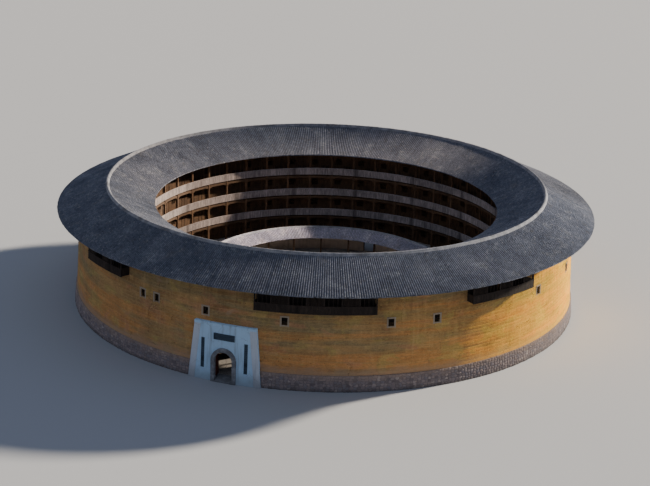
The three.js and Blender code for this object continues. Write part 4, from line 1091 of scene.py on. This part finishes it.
# posts and ring beams, in the six sectors of the frame
HALFC = math.cos(math.radians(STEP / 2))
front = 24.46 * HALFC + 0.001
for k in range(6):
    b = Build()
    az = (k * 8 + np.arange(8) + 0.5) * STEP
    b.prisms(az, -0.11, 0.11, front, front + 0.26, FLOORS[0] + 0.001, 12.95, mat=0)
    b.prisms(az, -0.16, 0.16, front - 0.0, front + 0.30, FLOORS[0] + 0.001, FLOORS[0] + 0.22, mat=2)
    for top in (FLOORS[1] - SLAB, FLOORS[2] - SLAB, FLOORS[3] - SLAB, 12.95):
        seg = np.linspace(k * 60 + 0.02, (k + 1) * 60 - 0.02, 49)
        b.sweep(seg, [24.90, 24.90, 24.47, 24.47], [top - 0.28, top - 0.002, top - 0.002, top - 0.28], 1, 0.5, closed=False)
        # brackets each side of a post
        for sgn in (-1, 1):
            t = 0.11 * sgn
            t0, t1 = sorted((t, t + sgn * 0.42))
            pts_az = az
            hi, lo = top - 0.282, top - 0.50
            c = np.stack([local(pts_az, t, front + 0.07, lo), local(pts_az, t, front + 0.19, lo), local(pts_az, t, front + 0.19, hi), local(pts_az, t, front + 0.07, hi),
                          local(pts_az, t + sgn * 0.42, front + 0.07, hi - 0.03), local(pts_az, t + sgn * 0.42, front + 0.19, hi - 0.03), local(pts_az, t + sgn * 0.42, front + 0.19, hi), local(pts_az, t + sgn * 0.42, front + 0.07, hi)], 1)
            q = np.array([[0, 1, 2, 3], [4, 7, 6, 5], [0, 4, 5, 1], [3, 2, 6, 7], [0, 3, 7, 4], [1, 5, 6, 2]])
            if sgn > 0:
                q = q[:, ::-1]
            f = (np.arange(len(pts_az))[:, None, None] * 8 + q[None]).reshape(-1, 4)
            b.add(c.reshape(-1, 3), f, 0, 0.4)
    place(b.done(f"gallery_posts_{k + 1}", [MATS["gallery_wood"], MATS["beam_wood"], MATS["dressed_stone"]]), [f"gallery_frame_{k + 1}"])

# room fronts: plank walls with a door and a barred window to each bay
for s in range(4):
    z0 = FLOORS[s] + 0.001
    z1 = FLOORS[s + 1] - SLAB - 0.001 if s < 3 else 13.3
    b = Build()
    rc = 26.02
    deg = lambda m: math.degrees(m / rc)
    cuts, holes = [], []
    for i in range(BAYS):
        c = i * STEP
        if s == 0 and i == 0:
            w = math.degrees(math.asin(1.55 / 26.0))
            holes.append((c - w, c + w, -1, 2.75, None))
            cuts += [c - w, c + w]
            continue
        d0, d1 = c - deg(1.15), c - deg(0.15)
        w0, w1 = c + deg(0.35), c + deg(1.25)
        holes += [(d0, d1, -1, z0 + 2.0, "door"), (w0, w1, z0 + 1.0, z0 + 1.9, "window")]
        cuts += [d0, d1, w0, w1]
    edges = sorted(cuts + [(i + 0.5) * STEP - (360 if (i + 0.5) * STEP > 352 else 0) for i in range(BAYS)])
    lo = min(edges)
    edges = sorted(set([round(e, 6) for e in edges] + [round(lo + 360, 6)]))
    az = np.array(edges)
    z = np.array(sorted({z0, z0 + 1.0, z0 + 1.9, z0 + 2.0, z1} | ({2.75} if s == 0 else set())))
    mid_a, mid_z = (az[:-1] + az[1:]) / 2, (z[:-1] + z[1:]) / 2
    mask = np.ones((len(az) - 1, len(z) - 1), bool)
    for (a0, a1, h0, h1, kind) in holes:
        for sh in (0, 360):
            mask[np.ix_((mid_a > a0 + sh) & (mid_a < a1 + sh), (mid_z > h0) & (mid_z < h1))] = False
    # the ring closes on itself: build it with its first column repeated
    shell(b, az, az, z, np.full((len(az), len(z)), 26.07), np.full((len(az), len(z)), 25.99), mask)
    bays = np.array([i * STEP for i in range(BAYS) if not (s == 0 and i == 0)])
    dz0, dz1 = z0, z0 + 2.0
    dx0, dx1 = -1.15, -0.15
    for (t0, t1, h0, h1) in [(dx0 - 0.06, dx0 + 0.05, dz0, dz1 + 0.06), (dx1 - 0.05, dx1 + 0.06, dz0, dz1 + 0.06), (dx0 + 0.05, dx1 - 0.05, dz1 - 0.05, dz1 + 0.06)]:
        b.prisms(bays, t0, t1, 25.955, 26.04, h0, h1, mat=1)
    ajar = 0.0
    for (t0, t1) in [(dx0 + 0.055, -0.655), (-0.645, dx1 - 0.055)]:
        b.prisms(bays, t0, t1, 26.0, 26.03, dz0 + 0.01, dz1 - 0.055, mat=0)
        b.prisms(bays, t0 + 0.07, t1 - 0.07, 25.985, 26.005, dz0 + 0.12, dz0 + 0.85, mat=1)
        b.prisms(bays, t0 + 0.07, t1 - 0.07, 25.985, 26.005, dz0 + 1.0, dz1 - 0.17, mat=1)
    wx0, wx1, h0, h1 = 0.35, 1.25, z0 + 1.0, z0 + 1.9
    for (t0, t1, a0, a1) in [(wx0 - 0.05, wx0 + 0.04, h0 - 0.05, h1 + 0.05), (wx1 - 0.04, wx1 + 0.05, h0 - 0.05, h1 + 0.05), (wx0 + 0.04, wx1 - 0.04, h1 - 0.04, h1 + 0.05), (wx0 + 0.04, wx1 - 0.04, h0 - 0.05, h0 + 0.04)]:
        b.prisms(bays, t0, t1, 25.955, 26.04, a0, a1, mat=1)
    for t in np.linspace(wx0 + 0.04, wx1 - 0.04, 8)[1:-1]:
        b.prisms(bays, t - 0.016, t + 0.016, 25.985, 26.015, h0 + 0.03, h1 - 0.03, mat=1)
    b.prisms(bays, wx0 + 0.03, wx1 - 0.03, 26.0, 26.02, (h0 + h1) / 2 - 0.02, (h0 + h1) / 2 + 0.02, mat=1)
    # studs at the bay edges
    posts = (np.arange(BAYS) + 0.5) * STEP
    b.prisms(posts, -0.09, 0.09, 25.955, 26.08, z0, z1, mat=1)
    place(b.done(f"room_boards_{s + 1}", [MATS["gallery_wood"], MATS["beam_wood"]]), [f"room_front_{s + 1}"])

# ------------------------------------------------------------------ lookouts
for k, (c, w) in enumerate(LOOKOUTS):
    b = Build()
    a0, a1 = c - w / 2, c + w / 2
    zf, zr, zt = LOOK_FLOOR, LOOK_FLOOR + LOOK_RAIL, LOOK_TOP
    ro = LOOK_OUT
    wall = wall_out(zf) + 0.004
    seg = np.linspace(a0, a1, int(w * 2) + 1)
    b.sweep(seg, [ro - 0.02, ro - 0.02, wall, wall], [zf + 0.10, zf + 0.15, zf + 0.15, zf + 0.10], 0, 0.5, closed=False)       # deck
    b.sweep(seg, [ro, ro, ro - 0.12, ro - 0.12], [zf, zf + 0.14, zf + 0.14, zf], 0, 0.5, closed=False)                         # edge beam
    b.sweep(seg, [ro, ro, ro - 0.10, ro - 0.10], [zr - 0.08, zr, zr, zr - 0.08], 0, 0.7, closed=False)                         # hand rail
    b.sweep(seg, [ro - 0.01, ro - 0.01, ro - 0.16, ro - 0.16], [zt - 0.16, zt, zt, zt - 0.16], 0, 0.5, closed=False)          # top plate
    b.sweep(seg, [ro - 0.02, ro - 0.02, ro - 0.09, ro - 0.09], [zr + 1.02, zr + 1.10, zr + 1.10, zr + 1.02], 0, 0.4, closed=False)
    metres = math.radians(w) * ro
    nb = int(metres / 0.17)
    az = a0 + (np.arange(nb) + 0.5) * w / nb
    bw = metres / nb
    jit = (rng.random(nb) - 0.5) * 0.012
    b.prisms(az, -bw / 2 + 0.006, bw / 2 - 0.006, ro - 0.055 + jit, ro - 0.03 + jit, zf + 0.05 + jit, zr - 0.07, mat=0)
    # joists under the deck, and bearers that come out of the wall
    nj = max(4, int(metres / 0.8))
    az = a0 + (np.arange(nj) + 0.5) * w / nj
    b.prisms(az, -0.05, 0.05, wall, ro - 0.13, zf + 0.0, zf + 0.098, mat=0)
    bays = max(2, round(w / 3.4))
    pa = np.array([a0 + w * i / bays + (0.16 if i == 0 else -0.16 if i == bays else 0) for i in range(bays + 1)])
    b.prisms(pa, -0.075, 0.075, ro - 0.22, ro - 0.06, zf + 0.02, zt - 0.01, mat=0)
    # slatted screens over the rail in every other bay, posts between
    for i in range(bays):
        lo_, hi_ = a0 + w * i / bays, a0 + w * (i + 1) / bays
        m_ = math.radians(hi_ - lo_) * ro
        ns = int(m_ / 0.16)
        if i % 2 == (k % 2):
            saz = lo_ + (np.arange(ns) + 0.5) * (hi_ - lo_) / ns
            b.prisms(saz, -0.045, 0.045, ro - 0.085, ro - 0.055, zr - 0.02, zr + 1.06, mat=0)
        else:
            saz = lo_ + (np.arange(3) + 1) * (hi_ - lo_) / 4
            b.prisms(saz, -0.03, 0.03, ro - 0.09, ro - 0.04, zr - 0.02, zt - 0.1, mat=0)
    # boarded ends
    for a, sg in ((a0, 1), (a1, -1)):
        e = a + sg * 0.10
        ends_r = np.linspace(wall + 0.01, ro - 0.12, 7)
        b.prisms(e, -0.02, 0.02, ends_r[:-1] + 0.006, ends_r[1:] - 0.006, zf + 0.02, zr - 0.02, mat=0)
        b.prisms(e, -0.04, 0.04, wall + 0.005, ro - 0.1, zr - 0.08, zr, mat=0)
        b.prisms(e, -0.03, 0.03, wall + 0.005, ro - 0.1, zt - 0.12, zt - 0.04, mat=0)
        b.prisms(e, -0.05, 0.05, wall + 0.004, wall + 0.10, zf + 0.02, zt, mat=0)
    # dark boards that line the wall behind, open at the doorway: a near-black sheet of painted shade over the wall
    door = math.degrees((LOOK_DOOR[0] / 2 + 0.06) / wall)
    for lo_, hi_ in ((a0 + 0.2, c - door), (c + door, a1 - 0.2)):
        m_ = math.radians(hi_ - lo_) * wall
        nb = int(m_ / 0.25)
        az = lo_ + (np.arange(nb) + 0.5) * (hi_ - lo_) / nb
        hb, ht = wall_out(zf + 0.16), wall_out(zt)
        b.prisms(az, -m_ / nb / 2 + 0.004, m_ / nb / 2 - 0.004, wall_out(zf + 0.16) + 0.003, wall_out(zf + 0.16) + 0.028, zf + 0.16, zt - 0.02, mat=0)
    b.prisms(c, -LOOK_DOOR[0] / 2 - 0.07, -LOOK_DOOR[0] / 2 + 0.02, wall - 0.12, wall + 0.04, zf + 0.16, zf + 0.16 + LOOK_DOOR[1], mat=0)
    b.prisms(c, LOOK_DOOR[0] / 2 - 0.02, LOOK_DOOR[0] / 2 + 0.07, wall - 0.12, wall + 0.04, zf + 0.16, zf + 0.16 + LOOK_DOOR[1], mat=0)
    place(b.done(f"lookout_boards_{k + 1}", [MATS["dark_wood"]]), [f"lookout_{k + 1}"])

# ------------------------------------------------------------------ low ring
b = Build()
b.sweep(R192, [18.78, 18.78, 14.8, 14.8], [0, 0.14, 0.14, 0], 0, 0.5)
kerb = 84
az = (np.arange(kerb) + 0.5) * 360 / kerb
w_ = 2 * PI * 14.57 / kerb
b.prisms(az, -w_ / 2 + 0.006, w_ / 2 - 0.006, 14.56, 14.8, 0.0, 0.15, mat=1)
place(b.done("low_base_stones", [MATS["paving_stone"], MATS["dressed_stone"]]), ["low_ring_base"])

low_top_out = lambda r: LOW_EAVE_Z + (LOW_OUT - r) * (LOW_RIDGE_Z - LOW_EAVE_Z) / (LOW_OUT - LOW_RIDGE_R)
low_top_in = lambda r: LOW_IN_Z + (r - LOW_IN) * (LOW_RIDGE_Z - LOW_IN_Z) / (LOW_RIDGE_R - LOW_IN)
o1 = corrugated("low_roof_outer_tiles", ["low_ring_roof"], 432, LOW_OUT - 0.03, LOW_RIDGE_R + 0.02, low_top_out, 0.075, 4, 0.12, MATS["low_tile"], 4, 63)
o2 = corrugated("low_roof_inner_tiles", ["low_ring_roof"], 432, LOW_IN + 0.03, LOW_RIDGE_R - 0.02, low_top_in, 0.075, 4, 0.12, MATS["low_tile"], 4, 73)
b = Build()
n = 384
az = np.arange(n) * 360 / n
b.sweep(az, [LOW_RIDGE_R + 0.2, LOW_RIDGE_R + 0.1, LOW_RIDGE_R + 0.05, LOW_RIDGE_R - 0.05, LOW_RIDGE_R - 0.1, LOW_RIDGE_R - 0.2],
        [LOW_RIDGE_Z - 0.14, LOW_RIDGE_Z + 0.02, LOW_RIDGE_Z + 0.07, LOW_RIDGE_Z + 0.07, LOW_RIDGE_Z + 0.02, LOW_RIDGE_Z - 0.14], 0, 0.5)
place(b.done("low_ridge_cap", [MATS["ridge_mortar"]], 35))
b = Build()
az = (np.arange(192) + 0.5) * 360 / 192
b.prisms(az, -0.045, 0.045, LOW_RIDGE_R + 0.05, LOW_OUT - 0.18, low_top_out(LOW_RIDGE_R + 0.05) - 0.225, low_top_out(LOW_RIDGE_R + 0.05) - 0.125, low_top_out(LOW_OUT - 0.18) - 0.225, low_top_out(LOW_OUT - 0.18) - 0.125, mat=0)
b.prisms(az, -0.045, 0.045, LOW_IN + 0.18, LOW_RIDGE_R - 0.05, low_top_in(LOW_IN + 0.18) - 0.225, low_top_in(LOW_IN + 0.18) - 0.125, low_top_in(LOW_RIDGE_R - 0.05) - 0.225, low_top_in(LOW_RIDGE_R - 0.05) - 0.125, mat=0)
place(b.done("low_rafters", [MATS["rafter_wood"]]))

b = Build()
az, holes = [], []
for c in (0, 90, 180, 270):
    w_ = math.degrees(0.85 / 18.45)
    az += [c - w_ if c else 360 - w_, c + w_]
    holes.append(c)
reg = [v for v in np.arange(0.0, 360.0, 3.75) if min(abs((v - c + 180) % 360 - 180) for c in (0, 90, 180, 270)) > 3.3]
az = np.array(sorted(set([round(v, 6) for v in az + reg])))
az = np.append(az, az[0] + 360)
z = np.array([0.152, 0.21, 2.45, 2.84])
mid_a = (az[:-1] + az[1:]) / 2
mid_z = (z[:-1] + z[1:]) / 2
mask = np.ones((len(az) - 1, 3), bool)
for c in (0, 90, 180, 270, 360):
    mask[np.ix_(np.abs(mid_a - c) < 1.0, (mid_z > 0.21) & (mid_z < 2.45))] = False
shell(b, az, az, z, np.full((len(az), 4), 18.595), np.full((len(az), 4), 18.305), mask)
for c in (0, 90, 180, 270):
    for (t0, t1, h0, h1) in [(-0.85, -0.76, 0.21, 2.45), (0.76, 0.85, 0.21, 2.45), (-0.76, 0.76, 2.35, 2.45)]:
        b.prisms(c, t0, t1, 18.36, 18.54, h0, h1, mat=1)
place(b.done("low_wall_face", [MATS["lime_plaster"], MATS["gallery_wood"]]), ["low_ring_wall"])

b = Build()
az = (np.arange(24) + 0.5) * 15
rr_ = LOW_POST_R * math.cos(math.radians(3.75))
b.prisms(az, -0.1, 0.1, rr_ - 0.1, rr_ + 0.1, 0.152, 2.97, mat=0)
b.prisms(az, -0.14, 0.14, rr_ - 0.12, rr_ + 0.12, 0.152, 0.34, mat=2)
b.sweep(R192, [LOW_POST_R + 0.10, LOW_POST_R + 0.10, LOW_POST_R - 0.10, LOW_POST_R - 0.10], [2.83, 3.10, 3.10, 2.83], 1, 0.5)
place(b.done("low_posts", [MATS["gallery_wood"], MATS["beam_wood"], MATS["dressed_stone"]]), ["low_ring_posts"])

# ------------------------------------------------------------------ floor, light, camera
me = bpy.data.meshes.new("floor")
s_ = 260.0
me.from_pydata([(-s_, -s_, -0.004), (s_, -s_, -0.004), (s_, s_, -0.004), (-s_, s_, -0.004)], [], [(0, 1, 2, 3)])
fm = bpy.data.materials.new("floor")
fm.use_nodes = True
fb = fm.node_tree.nodes["Principled BSDF"]
fb.inputs["Base Color"].default_value = (0.365, 0.384, 0.410, 1)
fb.inputs["Roughness"].default_value = 0.95
me.materials.append(fm)
floor = bpy.data.objects.new("floor", me)
bpy.context.scene.collection.objects.link(floor)

world = bpy.data.worlds.new("studio")
world.use_nodes = True
bg = world.node_tree.nodes["Background"]
bg.inputs[0].default_value = (0.64, 0.735, 1.0, 1)
bg.inputs[1].default_value = 0.34
bpy.context.scene.world = world


def sun(name, azimuth, elevation, energy, color, angle):
    """A soft light from that azimuth (degrees from the gate, towards +X) and height."""
    d = bpy.data.lights.new(name, "SUN")
    d.energy, d.color, d.angle = energy, color, math.radians(angle)
    o = bpy.data.objects.new(name, d)
    bpy.context.scene.collection.objects.link(o)
    from mathutils import Vector
    a, e = math.radians(azimuth), math.radians(elevation)
    v = Vector((math.sin(a) * math.cos(e), -math.cos(a) * math.cos(e), math.sin(e)))
    o.rotation_euler = v.to_track_quat("Z", "Y").to_euler()
    return o


def softbox(name, target, azimuth, elevation, distance, watts, color, cone, size, blend=0.7):
    """A round soft lamp that shines on a target from that direction."""
    d = bpy.data.lights.new(name, "SPOT")
    d.energy, d.color, d.spot_size, d.spot_blend, d.shadow_soft_size = watts, color, math.radians(cone), blend, size
    o = bpy.data.objects.new(name, d)
    bpy.context.scene.collection.objects.link(o)
    from mathutils import Vector
    a, e = math.radians(azimuth), math.radians(elevation)
    v = Vector((math.sin(a) * math.cos(e), -math.cos(a) * math.cos(e), math.sin(e)))
    o.location = Vector(target) + v * distance
    o.rotation_euler = v.to_track_quat("Z", "Y").to_euler()
    return o


def reach(light, pieces, leave_out=False):
    """The light falls on these pieces only, or on all but these."""
    c = bpy.data.collections.new(light.name + "_reach")
    for o in pieces:
        c.objects.link(o)
    if leave_out:
        for k in c.collection_objects:
            k.light_linking.link_state = "EXCLUDE"
    light.light_linking.receiver_collection = c


# the ochre wall has a warmer evening light of its own, so that the tiles and the floor stay neutral
earth = [o for o in bpy.data.objects if o.type == "MESH" and len(o.data.materials) and o.data.materials[0] == MATS["rammed_earth"]]
reach(sun("key", 141, 20.8, 13.5, (1.0, 0.87, 0.70), 4), earth, True)
reach(sun("key_earth", 141, 20.8, 8.5, (1.0, 0.75, 0.20), 2), earth)
sun("fill", -5, 42, 0.22, (0.78, 0.87, 1.0), 60)
softbox("court", (-9.7, 1.3, 2.7), 124, 27, 70.0, 780000.0, (1.0, 0.80, 0.60), 13.0, 1.5)
reach(softbox("side", (15.9, -4.3, 2.4), 141, 20.8, 70.0, 1700000.0, (1.0, 0.67, 0.06), 15.0, 0.9, 0.9), earth)
reach(softbox("side_low", (16.4, -1.6, 2.4), 112, 6, 70.0, 110000.0, (1.0, 0.76, 0.10), 14.0, 1.0, 0.35), earth)
low = [bpy.data.objects[k] for k in ("low_roof_outer_tiles", "low_roof_inner_tiles", "low_ridge_cap")]
reach(softbox("court_low", (-9.7, 1.3, 2.7), 124, 27, 70.0, 760000.0, (1.0, 0.86, 0.80), 11.0, 1.5), low)
roofs = [bpy.data.objects[k] for k in ("roof_outer_tiles", "ridge_cap")]
reach(softbox("rim", (16.0, -1.6, 6.6), 112, 12, 70.0, 400000.0, (1.0, 0.96, 0.88), 16.0, 1.0, 0.7), roofs)

cam_d = bpy.data.cameras.new("camera")
cam = bpy.data.objects.new("camera", cam_d)
bpy.context.scene.collection.objects.link(cam)
bpy.context.scene.camera = cam
from mathutils import Matrix, Vector
AZ, EL, DIST = math.radians(20.3), math.radians(20.53), 122.25
target = Vector((0.0, 0.0, 3.6))
pos = Vector((math.sin(AZ) * math.cos(EL), -math.cos(AZ) * math.cos(EL), math.sin(EL))) * DIST
look = (target - pos).normalized()
q = look.to_track_quat("-Z", "Y")
roll = Matrix.Rotation(math.radians(1.8), 4, "Z")
cam.matrix_world = Matrix.Translation(pos) @ q.to_matrix().to_4x4() @ roll
cam_d.sensor_width = 36.0
cam_d.lens = 100.0
cam_d.clip_start, cam_d.clip_end = 1.0, 2000.0
